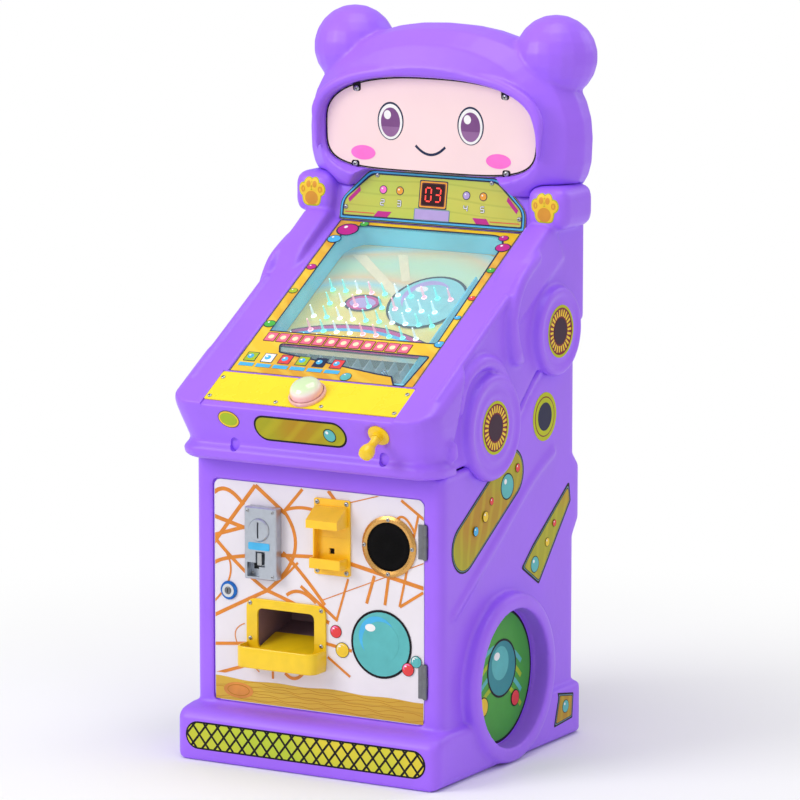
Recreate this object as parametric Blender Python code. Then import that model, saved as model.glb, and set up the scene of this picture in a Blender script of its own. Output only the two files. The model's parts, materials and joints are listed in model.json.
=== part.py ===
"""Coin-operated marble pinball cabinet for small children, at full size.

Metres, +Z up. The front looks towards -Y and X runs across. The origin is on the floor, under
the middle of the overall width and depth. Every hollow plastic moulding, panel, mechanism and
marble is an object of its own, so the cabinet comes apart as the real one does.
"""

import math

import bmesh
import bpy
from mathutils import Matrix, Vector

# ---------------------------------------------------------------- driving dimensions, metres
DEPTH = 0.6613           # plunger knob to the back of the hood
KNOB_REACH = 0.0373      # knob in front of the console's nose
CABINET_HALF = 0.247     # half width of the lower cabinet and of the side rails
BASE_FLARE = 0.016       # the foot stands out this far on each side
CONSOLE_FLARE = 0.015    # so does the console
HOOD_FLARE = 0.028       # and the hood
PAW_FLARE = 0.029        # and the two raised paws
WALL = 0.010             # moulded wall
SEAM_GAP = 0.0004        # between the two big mouldings
FIT = 0.0003             # between parts that touch
CLEAR = 0.0006           # between parts that slide or turn

FOOT_HEIGHT = 0.095
FOOT_FRONT = 0.049       # the foot bar stands out in front of the door
DOOR_BOTTOM = 0.102
DOOR_HEIGHT = 0.391
DOOR_SIDE = 0.037        # cabinet frame beside the door
DOOR_SHEET = 0.002
DOOR_RECESS = 0.004
FRAME_LIP = 0.012        # the frame behind the door's edge
DOOR_CORNER = 0.012

CONSOLE_RISE = 0.041     # door top to the console's underside
CONSOLE_HEIGHT = 0.148   # console underside to the glass's front edge
GLASS_SETBACK = 0.082    # console nose to the glass's front edge
SLOPE = math.radians(30)
RAIL = 0.063             # side rail, cabinet side to glass edge
RAIL_PROUD = 0.003
GLASS_LENGTH = 0.440
GLASS_THICK = 0.003
PLAYFIELD_DEPTH = 0.042  # glass to playfield board
PLATE_LENGTH = 0.0755
PLATE_THICK = 0.002

DISPLAY_TILT = math.radians(9)
DISPLAY_HEIGHT = 0.0905
DISPLAY_THICK = 0.003
NECK_HEIGHT = 0.063      # glass top edge to the hood's seat
HOOD_HEIGHT = 0.293
HOOD_OVERHANG = 0.0390512  # hood's front, out from the face panel
FACE_HALF = 0.214
FACE_HEIGHT = 0.169
FACE_THICK = 0.003
EAR_RADIUS = 0.074

MARBLE = 0.016           # diameter
POCKET_PITCH = 0.0245
LANE_INSET = 0.029       # glass side edge to the plunger lane's middle
PLUNGER_DROP = 0.030     # plunger axis under the glass
PLUNGER_ROD = 0.004      # radius
PLUNGER_TRAVEL = 0.035
BUTTON_TRAVEL = 0.004
GATE_TRAVEL = POCKET_PITCH / 2

COIN_PLATE_WIDTH = 0.064
COIN_PLATE_HEIGHT = 0.127
SPEAKER_RADIUS = 0.053
WHEEL_RADIUS = 0.150     # raised wheel ring on each side
WHEEL_DISC = 0.122
WHEEL_PROUD = 0.026
WHEEL_SINK = 0.011
REAR_COVER_HALF = 0.150
REAR_COVER_BOTTOM = 0.150
REAR_COVER_HEIGHT = 0.190
SHELF_Z = 0.300
HINGE_LENGTH = 0.060
HINGE_BARREL = 0.004
HINGE_PIN = 0.002

# ---------------------------------------------------------------- planes worked out from them
NOSE = KNOB_REACH - DEPTH / 2
BACK = DEPTH / 2
DOOR_Y = NOSE + 0.075
CABINET_FRONT = DOOR_Y - DOOR_RECESS
CABINET_BACK = BACK - 0.074
BUMP_BACK = BACK - 0.052
TORSO_BACK = BACK - 0.039
DOOR_HALF = CABINET_HALF - DOOR_SIDE
DOOR_TOP = DOOR_BOTTOM + DOOR_HEIGHT
CONSOLE_Z = DOOR_TOP + CONSOLE_RISE
GLASS_HALF = CABINET_HALF - RAIL
LANE_X = GLASS_HALF - LANE_INSET
POCKETS = int(2 * (LANE_X - 0.0325 + FIT) / POCKET_PITCH)
GLASS_Y = NOSE + GLASS_SETBACK
GLASS_Z = CONSOLE_Z + CONSOLE_HEIGHT
GLASS_TOP_Y = GLASS_Y + GLASS_LENGTH * math.cos(SLOPE)
GLASS_TOP_Z = GLASS_Z + GLASS_LENGTH * math.sin(SLOPE)
DISPLAY_Y = GLASS_TOP_Y + 0.002
DISPLAY_Z = GLASS_TOP_Z + 0.002
NECK_TOP = GLASS_TOP_Z + NECK_HEIGHT
HOOD_TOP = NECK_TOP + HOOD_HEIGHT
HOOD_HALF = CABINET_HALF + HOOD_FLARE
FACE_Y = DISPLAY_Y - 0.002
FACE_BOTTOM = DISPLAY_Z + DISPLAY_HEIGHT * math.cos(DISPLAY_TILT) + 0.003
FACE_Z = FACE_BOTTOM + FACE_HEIGHT / 2
CAVITY_HALF = CABINET_HALF - WALL

QUARTER = math.pi / 2


# ---------------------------------------------------------------- frames
def moved(x, y, z):
    return Matrix.Translation((x, y, z))


def facing_front(x, y, z):
    """Local X across, local Y up, local Z out towards the front."""
    return moved(x, y, z) @ Matrix.Rotation(QUARTER, 4, "X")


def facing_side(side, x, y, z):
    """Local Z out towards +X on side 1 and -X on side -1."""
    return moved(side * x, y, z) @ Matrix.Rotation(side * QUARTER, 4, "Y")


# Takes an outline drawn as (out, up) to a prism that runs across.
SIDE_ON = Matrix(((0, 0, 1, 0), (0, 1, 0, 0), (1, 0, 0, 0), (0, 0, 0, 1)))
SLOPED = moved(0, GLASS_Y, GLASS_Z) @ Matrix.Rotation(SLOPE, 4, "X")
ON_DOOR = facing_front(0, DOOR_Y, 0)
ON_DISPLAY = (moved(0, DISPLAY_Y, DISPLAY_Z) @ Matrix.Rotation(-DISPLAY_TILT, 4, "X")
              @ Matrix.Rotation(QUARTER, 4, "X"))
AT_REAR = moved(0, CABINET_BACK, 0) @ Matrix.Rotation(math.pi, 4, "Z") @ Matrix.Rotation(QUARTER, 4, "X")


def slope_z(y, height):
    """Height over the floor of a line parallel to the glass, that far over its top face."""
    return GLASS_Z + (y - GLASS_Y) * math.tan(SLOPE) + height / math.cos(SLOPE)


def display_yz(up, out):
    point = ON_DISPLAY @ Vector((0, up, out))
    return point.y, point.z


# ---------------------------------------------------------------- materials
def material(name, colour, roughness, metallic=0.0, transmission=0.0):
    made = bpy.data.materials.new(name)
    made.use_nodes = True
    shader = made.node_tree.nodes["Principled BSDF"]
    shader.inputs["Base Color"].default_value = (*colour, 1.0)
    shader.inputs["Roughness"].default_value = roughness
    shader.inputs["Metallic"].default_value = metallic
    shader.inputs["Transmission Weight"].default_value = transmission
    made.diffuse_color = (*colour, 1.0)
    return made


def make_materials():
    return {
        "purple": material("purple_polyethylene", (0.38, 0.17, 0.94), 0.35),
        "yellow": material("yellow_abs", (0.98, 0.80, 0.03), 0.35),
        "ochre": material("printed_ochre_panel", (0.78, 0.45, 0.06), 0.4),
        "white": material("printed_white_sheet", (0.75, 0.70, 0.76), 0.35),
        "pink": material("pink_acrylic", (1.0, 0.70, 0.70), 0.3),
        "lime": material("printed_lime_panel", (0.55, 0.62, 0.10), 0.35),
        "glass": material("clear_acrylic", (0.80, 0.92, 0.95), 0.05, 0.0, 0.9),
        "teal": material("teal_acrylic", (0.25, 0.62, 0.66), 0.2),
        "steel": material("zinc_plated_steel", (0.60, 0.60, 0.62), 0.35, 1.0),
        "cast": material("grey_zinc_casting", (0.45, 0.46, 0.48), 0.4, 0.9),
        "chrome": material("chromed_brass", (0.80, 0.80, 0.82), 0.12, 1.0),
        "brass": material("anodised_gold_ring", (0.72, 0.55, 0.25), 0.3, 1.0),
        "black": material("black_abs", (0.03, 0.03, 0.035), 0.45),
        "blue": material("blue_abs", (0.05, 0.20, 0.60), 0.4),
        "green": material("green_circuit_board", (0.03, 0.25, 0.08), 0.5),
        "grey": material("grey_sheet_steel", (0.40, 0.41, 0.43), 0.4, 0.8),
        "marble": material("glass_marble", (0.20, 0.45, 0.70), 0.08),
    }


# ---------------------------------------------------------------- outlines
def signed_area(outline):
    return sum(a[0] * b[1] - b[0] * a[1] for a, b in zip(outline, outline[1:] + outline[:1])) / 2


def rounded(outline, radius, steps=2):
    """Rounds each corner by an arc. The radius is one value, or one for each corner."""
    radii = radius if isinstance(radius, (list, tuple)) else [radius] * len(outline)
    result = []
    for index, (corner, wanted) in enumerate(zip(outline, radii)):
        here = Vector(corner)
        back = Vector(outline[index - 1]) - here
        ahead = Vector(outline[(index + 1) % len(outline)]) - here
        turn = math.pi - back.angle(ahead)
        if wanted <= 0 or turn < 0.05:
            result.append((here.x, here.y))
            continue
        reach = min(wanted * math.tan(turn / 2), 0.45 * back.length, 0.45 * ahead.length)
        start = here + back.normalized() * reach
        end = here + ahead.normalized() * reach
        to_centre = (back.normalized() + ahead.normalized()).normalized()
        span = reach / math.tan(turn / 2)
        centre = here + to_centre * math.hypot(reach, span)
        first, last = start - centre, end - centre
        for step in range(steps + 1):
            share = step / steps
            point = (first * (1 - share) + last * share).normalized() * span + centre
            result.append((point.x, point.y))
    return result


def inset(outline, distances):
    """Moves each edge inwards by its own distance. A negative one moves it out."""
    if signed_area(outline) < 0:
        outline, distances = outline[::-1], distances[-2::-1] + distances[-1:]
    lines = []
    for a, b, distance in zip(outline, outline[1:] + outline[:1], distances):
        along = (Vector(b) - Vector(a)).normalized()
        lines.append((Vector(a) + Vector((-along.y, along.x)) * distance, along))
    result = []
    for index, (point, along) in enumerate(lines):
        other, other_along = lines[index - 1]
        cross = other_along.x * along.y - other_along.y * along.x
        reach = ((point.x - other.x) * along.y - (point.y - other.y) * along.x) / cross
        result.append(tuple(other + other_along * reach))
    return result


def rectangle(half, low, high):
    return [(-half, low), (half, low), (half, high), (-half, high)]


def circle(radius, count=32, x=0.0, y=0.0):
    angles = [2 * math.pi * step / count for step in range(count)]
    return [(x + radius * math.cos(angle), y + radius * math.sin(angle)) for angle in angles]


def face_outline(grow=0.0, count=40):
    """A wide rounded panel, flatter along its lower edge."""
    across, tall = FACE_HALF + grow, FACE_HEIGHT / 2 + grow
    result = []
    for step in range(count):
        angle = 2 * math.pi * step / count
        power = 2 / 2.5 if math.sin(angle) >= 0 else 2 / 4.5
        x = math.copysign(abs(math.cos(angle)) ** power, math.cos(angle)) * across
        z = math.copysign(abs(math.sin(angle)) ** power, math.sin(angle)) * tall
        result.append((x, z))
    return result


def display_outline(grow=0.0):
    half, shoulder = GLASS_HALF + 0.004 + grow, 0.035
    return rounded([(-half, -grow), (half, -grow), (half, shoulder), (half - 0.055, DISPLAY_HEIGHT + grow),
                    (0.055 - half, DISPLAY_HEIGHT + grow), (-half, shoulder)],
                   [0.003, 0.003, 0.030, 0.030, 0.030, 0.030], 3)


# ---------------------------------------------------------------- making objects
def new_object(name, bm, look, frame=None):
    bmesh.ops.recalc_face_normals(bm, faces=bm.faces)
    mesh = bpy.data.meshes.new(name)
    bm.to_mesh(mesh)
    bm.free()
    obj = bpy.data.objects.new(name, mesh)
    bpy.context.scene.collection.objects.link(obj)
    obj.matrix_world = frame or Matrix()
    if look:
        mesh.materials.append(look)
    mesh.shade_smooth()
    mesh.set_sharp_from_angle(angle=math.radians(35))
    return obj


def prism(name, outline, low, high, look=None, frame=None, axis="Z", edge=0.0, segments=2):
    """Extrudes an outline from low to high along an axis, and rounds both rims by edge."""
    place = {
        "X": lambda a, b, t: (t, a, b),
        "Y": lambda a, b, t: (a, t, b),
        "Z": lambda a, b, t: (a, b, t),
    }[axis]
    bm = bmesh.new()
    cap = bm.faces.new([bm.verts.new(place(a, b, low)) for a, b in outline])
    grown = bmesh.ops.extrude_face_region(bm, geom=[cap])
    moved_verts = [item for item in grown["geom"] if isinstance(item, bmesh.types.BMVert)]
    bmesh.ops.translate(bm, verts=moved_verts, vec=Vector(place(0, 0, high - low)))
    bmesh.ops.recalc_face_normals(bm, faces=bm.faces)
    if edge:
        across = "XYZ".index(axis)
        rims = [item for item in bm.edges
                if abs(item.verts[0].co[across] - item.verts[1].co[across]) < 1e-7]
        bmesh.ops.bevel(bm, geom=rims, offset=edge, segments=segments, profile=0.5,
                        affect="EDGES", material=-1)
    return new_object(name, bm, look, frame)


def block(name, low, high, look=None, frame=None, edge=0.0, segments=1):
    """A box between two corners, with all its edges rounded by edge."""
    bm = bmesh.new()
    bmesh.ops.create_cube(bm, size=1.0)
    size = [b - a for a, b in zip(low, high)]
    middle = [(a + b) / 2 for a, b in zip(low, high)]
    bmesh.ops.scale(bm, vec=size, verts=bm.verts)
    bmesh.ops.translate(bm, vec=middle, verts=bm.verts)
    if edge:
        bmesh.ops.bevel(bm, geom=bm.edges[:], offset=edge, segments=segments, profile=0.5,
                        affect="EDGES", material=-1)
    return new_object(name, bm, look, frame)


def turned(name, profile, look=None, frame=None, count=24):
    """Turns a closed profile of (radius, height) points around local Z."""
    bm = bmesh.new()
    verts = [bm.verts.new((radius, 0, height)) for radius, height in profile]
    edges = [bm.edges.new(pair) for pair in zip(verts, verts[1:] + verts[:1])
             if pair[0].co.x > 0 or pair[1].co.x > 0]
    bmesh.ops.spin(bm, geom=verts + edges, axis=(0, 0, 1), cent=(0, 0, 0), angle=2 * math.pi,
                   steps=count, use_merge=True)
    bmesh.ops.remove_doubles(bm, verts=bm.verts, dist=1e-6)
    return new_object(name, bm, look, frame)


def rod(name, radius, low, high, look=None, frame=None, count=20):
    return prism(name, circle(radius, count), low, high, look, frame)


def ball(name, radius, look=None, frame=None, count=16):
    bm = bmesh.new()
    bmesh.ops.create_uvsphere(bm, u_segments=count, v_segments=count // 2 + 1, radius=radius)
    return new_object(name, bm, look, frame)


def loft(name, rings, look=None, frame=None):
    """Skins rings that all have as many points, and closes both ends."""
    bm = bmesh.new()
    loops = [[bm.verts.new(point) for point in ring] for ring in rings]
    for lower, upper in zip(loops, loops[1:]):
        count = len(lower)
        for index in range(count):
            after = (index + 1) % count
            bm.faces.new((lower[index], lower[after], upper[after], upper[index]))
    bm.faces.new(loops[0])
    bm.faces.new(loops[-1])
    return new_object(name, bm, look, frame)


def combine(target, operation, *tools):
    """Unites tools with the target, or cuts them out, and keeps the tools as wire helpers."""
    for tool in tools:
        step = target.modifiers.new(tool.name, "BOOLEAN")
        step.operation = operation
        step.solver = "EXACT"
        step.object = tool
        tool.hide_render = True
        tool.display_type = "WIRE"
    return target


def add(target, *tools):
    return combine(target, "UNION", *tools)


def cut(target, *tools):
    return combine(target, "DIFFERENCE", *tools)


def pivot(name, x, y, z, *pieces):
    """An empty on a joint's axis that carries the pieces that move with it."""
    empty = bpy.data.objects.new(name, None)
    empty.empty_display_size = 0.03
    empty.location = (x, y, z)
    bpy.context.scene.collection.objects.link(empty)
    for piece in pieces:
        piece.parent = empty
        piece.matrix_parent_inverse = moved(x, y, z).inverted()
    return empty


# ---------------------------------------------------------------- lower cabinet
def seam():
    """Where the upper moulding stands on the lower one, from front to back, as (y, z)."""
    return [(CABINET_FRONT, CONSOLE_Z), (NOSE + 0.250, CONSOLE_Z + 0.011), (NOSE + 0.285, CONSOLE_Z + 0.022),
            (NOSE + 0.414, CONSOLE_Z + 0.135), (CABINET_BACK, CONSOLE_Z + 0.192)]


def lower_side():
    """The lower cabinet from the side, without its foot."""
    top = [(y, z - SEAM_GAP) for y, z in seam()]
    back = [(CABINET_BACK, CONSOLE_Z - 0.026), (BUMP_BACK, CONSOLE_Z - 0.050),
            (BUMP_BACK, CONSOLE_Z - 0.150), (CABINET_BACK, CONSOLE_Z - 0.180),
            (CABINET_BACK, WALL / 2)]
    return [(CABINET_FRONT, WALL / 2)] + top + back


def wheel_frame(side):
    return facing_side(side, CABINET_HALF, NOSE + 0.2885, WHEEL_RADIUS)


def make_lower_cabinet(look):
    side = lower_side()
    body = prism("lower_cabinet", side, -CABINET_HALF, CABINET_HALF, look["purple"], axis="X",
                 edge=0.016, segments=3)
    front, foot_half = DOOR_Y - FOOT_FRONT, CABINET_HALF + BASE_FLARE
    foot_back = CABINET_BACK + 0.012
    foot = rounded([(front, 0), (foot_back, 0), (foot_back, FOOT_HEIGHT), (DOOR_Y, FOOT_HEIGHT),
                    (front, FOOT_HEIGHT - 0.008)], [0, 0, 0.020, 0, 0.030], 3)
    foot_shape = prism("foot_shape", foot, -foot_half, foot_half, axis="X", edge=0.014, segments=2)
    plan = rounded([(-foot_half, front), (foot_half, front), (foot_half, foot_back), (-foot_half, foot_back)],
                   [0.020, 0.020, 0.030, 0.030], 4)
    combine(foot_shape, "INTERSECT", prism("foot_plan", plan, -0.1, 0.2))
    add(body, foot_shape)
    for side_sign in (1, -1):
        ring = prism("wheel_ring_shape", circle(WHEEL_RADIUS, 40), -0.005, WHEEL_PROUD,
                     frame=wheel_frame(side_sign), edge=0.009)
        add(body, ring)
    distances = [-2 * WALL] * len(side)
    distances[0] = WALL                     # front wall
    for index in range(5, len(side)):       # back walls and floor
        distances[index] = WALL
    cut(body, prism("lower_hollow", inset(side, distances), -CAVITY_HALF, CAVITY_HALF, axis="X"))
    for side_sign in (1, -1):
        pan = prism("wheel_pan_shape", circle(WHEEL_DISC + WALL, 32), -WALL - WHEEL_SINK - 0.002,
                    -WALL / 2, frame=wheel_frame(side_sign))
        recess = prism("wheel_recess", circle(WHEEL_DISC, 40), -WHEEL_SINK, 2 * WHEEL_PROUD,
                       frame=wheel_frame(side_sign))
        add(body, pan)
        cut(body, recess)
    rim = DOOR_HALF + 0.002
    recess = prism("door_recess", rounded(rectangle(rim, DOOR_BOTTOM - 0.002, DOOR_TOP + 0.002),
                                          DOOR_CORNER, 3), 0.0, 0.05,
                   frame=facing_front(0, DOOR_Y + DOOR_SHEET + FIT, 0))
    opening = prism("door_opening", rectangle(DOOR_HALF - FRAME_LIP, DOOR_BOTTOM + FRAME_LIP,
                                              DOOR_TOP - FRAME_LIP), -0.05, 0.05, frame=ON_DOOR)
    cut(body, recess, opening)
    for centre in hinge_centres():
        low = centre - HINGE_LENGTH / 2 - 0.002
        notch = block("hinge_notch", (HINGE_X - 0.010, HINGE_Y - 0.020, low),
                      (HINGE_X + HINGE_BARREL + 0.0015, DOOR_Y + DOOR_SHEET + FIT,
                       low + HINGE_LENGTH + 0.004))
        cut(body, notch)
    rear = prism("rear_opening", rectangle(REAR_COVER_HALF - 0.012, REAR_COVER_BOTTOM + 0.012,
                                           REAR_COVER_BOTTOM + REAR_COVER_HEIGHT - 0.012),
                 -0.05, 0.05, frame=AT_REAR)
    cut(body, rear, block("inlet_hole", (-0.0145, -0.011, -0.05), (0.0145, 0.011, 0.05),
                          frame=AT_REAR @ moved(*INLET_SPOT, 0)))
    cut(body, block("switch_hole", (-0.0105, -0.0075, -0.05), (0.0105, 0.0075, 0.05),
                    frame=AT_REAR @ moved(*SWITCH_SPOT, 0)))
    return body


# ---------------------------------------------------------------- upper moulding
PLUNGER_FACE = -0.092     # along the slope, where the plunger's flange sits
PLUNGER_FRAME = SLOPED @ moved(LANE_X, 0, -PLUNGER_DROP) @ Matrix.Rotation(QUARTER, 4, "X")
FLARE_BACK = GLASS_Y + 0.060


def console_solid(name, shrink, floor):
    """Console moulding with round front corners: rings stacked upwards, then cut along the slope.

    Each level is a height over the console's underside, how much wider, and how far back."""
    half = CABINET_HALF + CONSOLE_FLARE - shrink
    levels = ((0.000, -0.010, 0.033), (0.006, -0.004, 0.025), (0.018, -0.003, 0.022), (0.026, -0.008, 0.028),
              (0.031, -0.011, 0.033), (0.040, -0.009, 0.030), (0.070, -0.003, 0.016), (0.090, 0.000, 0.006),
              (0.102, 0.000, 0.000), (0.280, 0.000, 0.000))
    rings = []
    levels = [(max(height, floor), *rest) for height, *rest in levels if height >= floor - 0.006]
    for height, wider, setback in levels:
        front, across = NOSE + setback + shrink, half + wider
        plan = rounded([(-across, FLARE_BACK), (-across, front), (across, front), (across, FLARE_BACK)],
                       [0, 0.046 - shrink, 0.046 - shrink, 0], 5)
        rings.append([(x, y, CONSOLE_Z + height) for x, y in plan])
    solid = loft(name, rings)
    top, back = RAIL_PROUD + 0.0008 - shrink, FLARE_BACK - shrink
    side = [(NOSE - 0.05, CONSOLE_Z - 0.02), (NOSE - 0.05, slope_z(NOSE - 0.05, top)),
            (back, slope_z(back, top)), (back - 0.030, CONSOLE_Z + 0.090), (back - 0.049, CONSOLE_Z + 0.050),
            (back - 0.020, CONSOLE_Z - 0.02)]
    edge = 0.016 if shrink == 0 else 0
    return combine(solid, "INTERSECT", prism(name + "_side", side, -half, half, axis="X", edge=edge))


def upper_side():
    """Rails, tub and torso from the side."""
    neck_low = display_yz(-0.003, -DISPLAY_THICK - FIT)
    lean = math.tan(DISPLAY_TILT)
    neck_high = (neck_low[0] + (NECK_TOP - neck_low[1]) * lean, NECK_TOP)
    start = NOSE + 0.055
    return ([(start, CONSOLE_Z)] + seam()[1:] +
            [(TORSO_BACK, CONSOLE_Z + 0.205), (TORSO_BACK, NECK_TOP), neck_high, neck_low,
             (neck_low[0] - 0.001, slope_z(neck_low[0] - 0.001, RAIL_PROUD)),
             (start, slope_z(start, RAIL_PROUD))])


def paw(name, sign, grow):
    ends = sorted((sign * (GLASS_HALF + 0.012 - grow), sign * (CABINET_HALF + PAW_FLARE + grow)))
    return block(name, (ends[0], DISPLAY_Y - 0.016 - grow, NECK_TOP - 0.054),
                 (ends[1], TORSO_BACK - 0.020 + grow, NECK_TOP + 0.022 + grow), edge=0.022, segments=3)


def make_upper_shell(look):
    side = upper_side()
    body = prism("upper_shell", side, -CABINET_HALF, CABINET_HALF, look["purple"], axis="X",
                 edge=0.012, segments=2)
    add(body, console_solid("console_shape", 0.0, 0.0))
    bulges = ((NOSE + 0.231, CONSOLE_Z + 0.065, 0.094), (NOSE + 0.463, CONSOLE_Z + 0.201, 0.080))
    shoulder = [(0.255, -0.06), (0.262, 0.0), (0.285, 0.004), (0.312, 0.014), (0.340, 0.021),
                (0.430, 0.024), (0.455, 0.016), (0.455, -0.06)]
    for sign in (1, -1):
        for y, z, radius in bulges:
            add(body, prism("bulge_shape", circle(radius, 32), -0.015, 0.014, edge=0.008,
                            frame=facing_side(sign, CABINET_HALF, y, z)))
        ends = sorted((sign * (GLASS_HALF + 0.014), sign * (CABINET_HALF + 0.004)))
        add(body, prism("shoulder_shape", shoulder, *ends, axis="X", edge=0.009, frame=SLOPED))
        add(body, paw("paw_shape", sign, 0.0))
    # Hollow inside, open below onto the lower cabinet and above at the neck.
    distances = [-2 * WALL] * 5 + [WALL] * (len(side) - 5)
    cut(body, prism("upper_hollow", inset(side, distances), -CAVITY_HALF, CAVITY_HALF, axis="X"))
    cut(body, console_solid("console_hollow", WALL, 0.011))
    # Plunger boss, with a flat seat square to the plunger.
    add(body, prism("plunger_boss", circle(0.027, 24), -PLUNGER_FACE - 0.026, -PLUNGER_FACE + 0.004,
                    frame=PLUNGER_FRAME))
    cut(body, prism("plunger_seat", circle(0.0235, 24), -PLUNGER_FACE, -PLUNGER_FACE + 0.05,
                    frame=PLUNGER_FRAME),
        prism("plunger_hole", circle(0.0075, 20), 0, 0.2, frame=PLUNGER_FRAME))
    # Openings for the playfield, the dome button, the glass, the plate and the display.
    tub = [(-GLASS_HALF + 0.007, 0.004), (GLASS_HALF - 0.007, 0.004),
           (GLASS_HALF - 0.007, GLASS_LENGTH - 0.006), (-GLASS_HALF + 0.007, GLASS_LENGTH - 0.006)]
    glass_bed = [(-GLASS_HALF - FIT, -FIT), (GLASS_HALF + FIT, -FIT),
                 (GLASS_HALF + FIT, GLASS_LENGTH + 0.02), (-GLASS_HALF - FIT, GLASS_LENGTH + 0.02)]
    plate_half = GLASS_HALF + 0.007 + FIT
    plate_bed = [(-plate_half, -0.0035 - PLATE_LENGTH - 0.03), (plate_half, -0.0035 - PLATE_LENGTH - 0.03),
                 (plate_half, -0.003), (-plate_half, -0.003)]
    cut(body, prism("tub_opening", tub, -0.06, 0.06, frame=SLOPED),
        prism("glass_bed", glass_bed, -GLASS_THICK - FIT, 0.03, frame=SLOPED),
        prism("plate_bed", plate_bed, -FIT, 0.03, frame=SLOPED),
        prism("button_hole", circle(0.0135, 20), -0.05, 0.05, frame=BUTTON_FRAME),
        prism("display_bed", display_outline(0.0012), -DISPLAY_THICK - FIT, 0.08, frame=ON_DISPLAY),
        block("display_wires", (-0.030, 0.040, -0.05), (0.030, 0.075, 0.0), frame=ON_DISPLAY),
        block("neck_opening", (-GLASS_HALF, display_yz(0.05, 0)[0] + 0.035, NECK_TOP - 0.05),
              (GLASS_HALF, TORSO_BACK - 0.016, NECK_TOP + 0.05)))
    # The lower cabinet keeps its place under the bulges.
    shadow = [(y, z) for y, z in seam()]
    shadow += [(CABINET_BACK, CONSOLE_Z - 0.20), (CABINET_FRONT, CONSOLE_Z - 0.20)]
    reach = CABINET_HALF + SEAM_GAP
    cut(body, prism("lower_cabinet_space", shadow, -reach, reach, axis="X"))
    return body


# ---------------------------------------------------------------- hood with round ears
HOOD_DEEP = (BACK - FACE_Y + HOOD_OVERHANG) / 2
HOOD_Y = BACK - HOOD_DEEP
HOOD_MIDDLE = NECK_TOP + 0.100


def hood_ring(y, share, shrink, count=40):
    """One closed outline of the hood, square to Y, share of full size: domed above, fuller below."""
    across = (HOOD_HALF - shrink) * share * (1 + 0.35 * (y - HOOD_Y))
    above, below = HOOD_TOP - HOOD_MIDDLE - shrink, 0.135 - shrink
    ring = []
    for step in range(count):
        angle = 2 * math.pi * step / count
        upper = math.sin(angle) >= 0
        power, rise = (0.92, above) if upper else (0.60, below)
        x = math.copysign(abs(math.cos(angle)) ** power, math.cos(angle)) * across
        z = math.copysign(abs(math.sin(angle)) ** power, math.sin(angle)) * rise * share
        ring.append((x, y, HOOD_MIDDLE + z))
    return ring


def hood_solid(name, shrink, look=None, count=40, rings=9):
    deep = HOOD_DEEP - shrink
    made = []
    for step in range(rings):
        angle = math.radians(-84 + 168 * step / (rings - 1))
        share = math.cos(angle) ** (0.62 if angle < 0 else 0.34)
        y = HOOD_Y + deep * math.sin(angle) / math.sin(math.radians(84))
        made.append(hood_ring(y, share, shrink, count))
    return loft(name, made, look)


def ear_frame(sign):
    return moved(sign * (HOOD_HALF - 0.071), BACK - 0.075, HOOD_TOP - 0.053)


def make_head_hood(look):
    body = hood_solid("head_hood", 0.0, look["purple"])
    for sign in (1, -1):
        add(body, ball("ear_shape", EAR_RADIUS, frame=ear_frame(sign), count=20))
    hollow = hood_solid("hood_hollow", WALL, count=32, rings=7)
    front = block("hood_front_kept", (-1, -1, 0), (1, FACE_Y + 0.020, 2))
    cut(hollow, front)
    hollow.hide_render, hollow.display_type = True, "WIRE"
    cut(body, hollow)
    for sign in (1, -1):
        cut(body, ball("ear_hollow", EAR_RADIUS - WALL, frame=ear_frame(sign), count=12))
    window = [[(x, y, FACE_Z + z) for x, z in face_outline(grow)]
              for y, grow in ((FACE_Y - 0.10, 0.060), (FACE_Y - 0.030, 0.018), (FACE_Y - 0.0005, -0.001))]
    bed = [(x, z + FACE_Z) for x, z in face_outline(0.0005)]
    cut(body, loft("face_window", window),
        prism("face_bed", bed, FACE_Y - 0.0006, FACE_Y + 0.04, axis="Y"),
        block("below_neck", (-1, -1, 0), (1, 1, NECK_TOP + FIT)),
        prism("display_space", display_outline(0.0012), -DISPLAY_THICK - FIT, 0.10, frame=ON_DISPLAY),
        block("module_space", (-0.030, 0.040, -0.05), (0.030, 0.075, 0.0), frame=ON_DISPLAY))
    for sign in (1, -1):
        cut(body, paw("paw_space", sign, 0.0004))
    return body


# ---------------------------------------------------------------- panels, glass and playfield
def make_face(look):
    outline = [(x, z + FACE_Z) for x, z in face_outline()]
    prism("face_panel", outline, FACE_Y, FACE_Y + FACE_THICK, look["pink"], axis="Y")
    rim = [(x, z + FACE_Z) for x, z in face_outline(-0.004, 28)]
    inner = [(x, z + FACE_Z) for x, z in face_outline(-0.007, 28)]
    back = FACE_Y + FACE_THICK
    box = prism("face_light_box", rim, back + FIT, back + 0.026, look["white"], axis="Y")
    cut(box, prism("light_box_hollow", inner, back - 0.01, back + 0.022, axis="Y"))


def make_display(look):
    prism("display_panel", display_outline(), -DISPLAY_THICK, 0, look["lime"], ON_DISPLAY)
    block("display_module", (-0.025, 0.042, -DISPLAY_THICK - 0.016), (0.025, 0.073, -DISPLAY_THICK - FIT),
          look["black"], ON_DISPLAY, edge=0.001)


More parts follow.
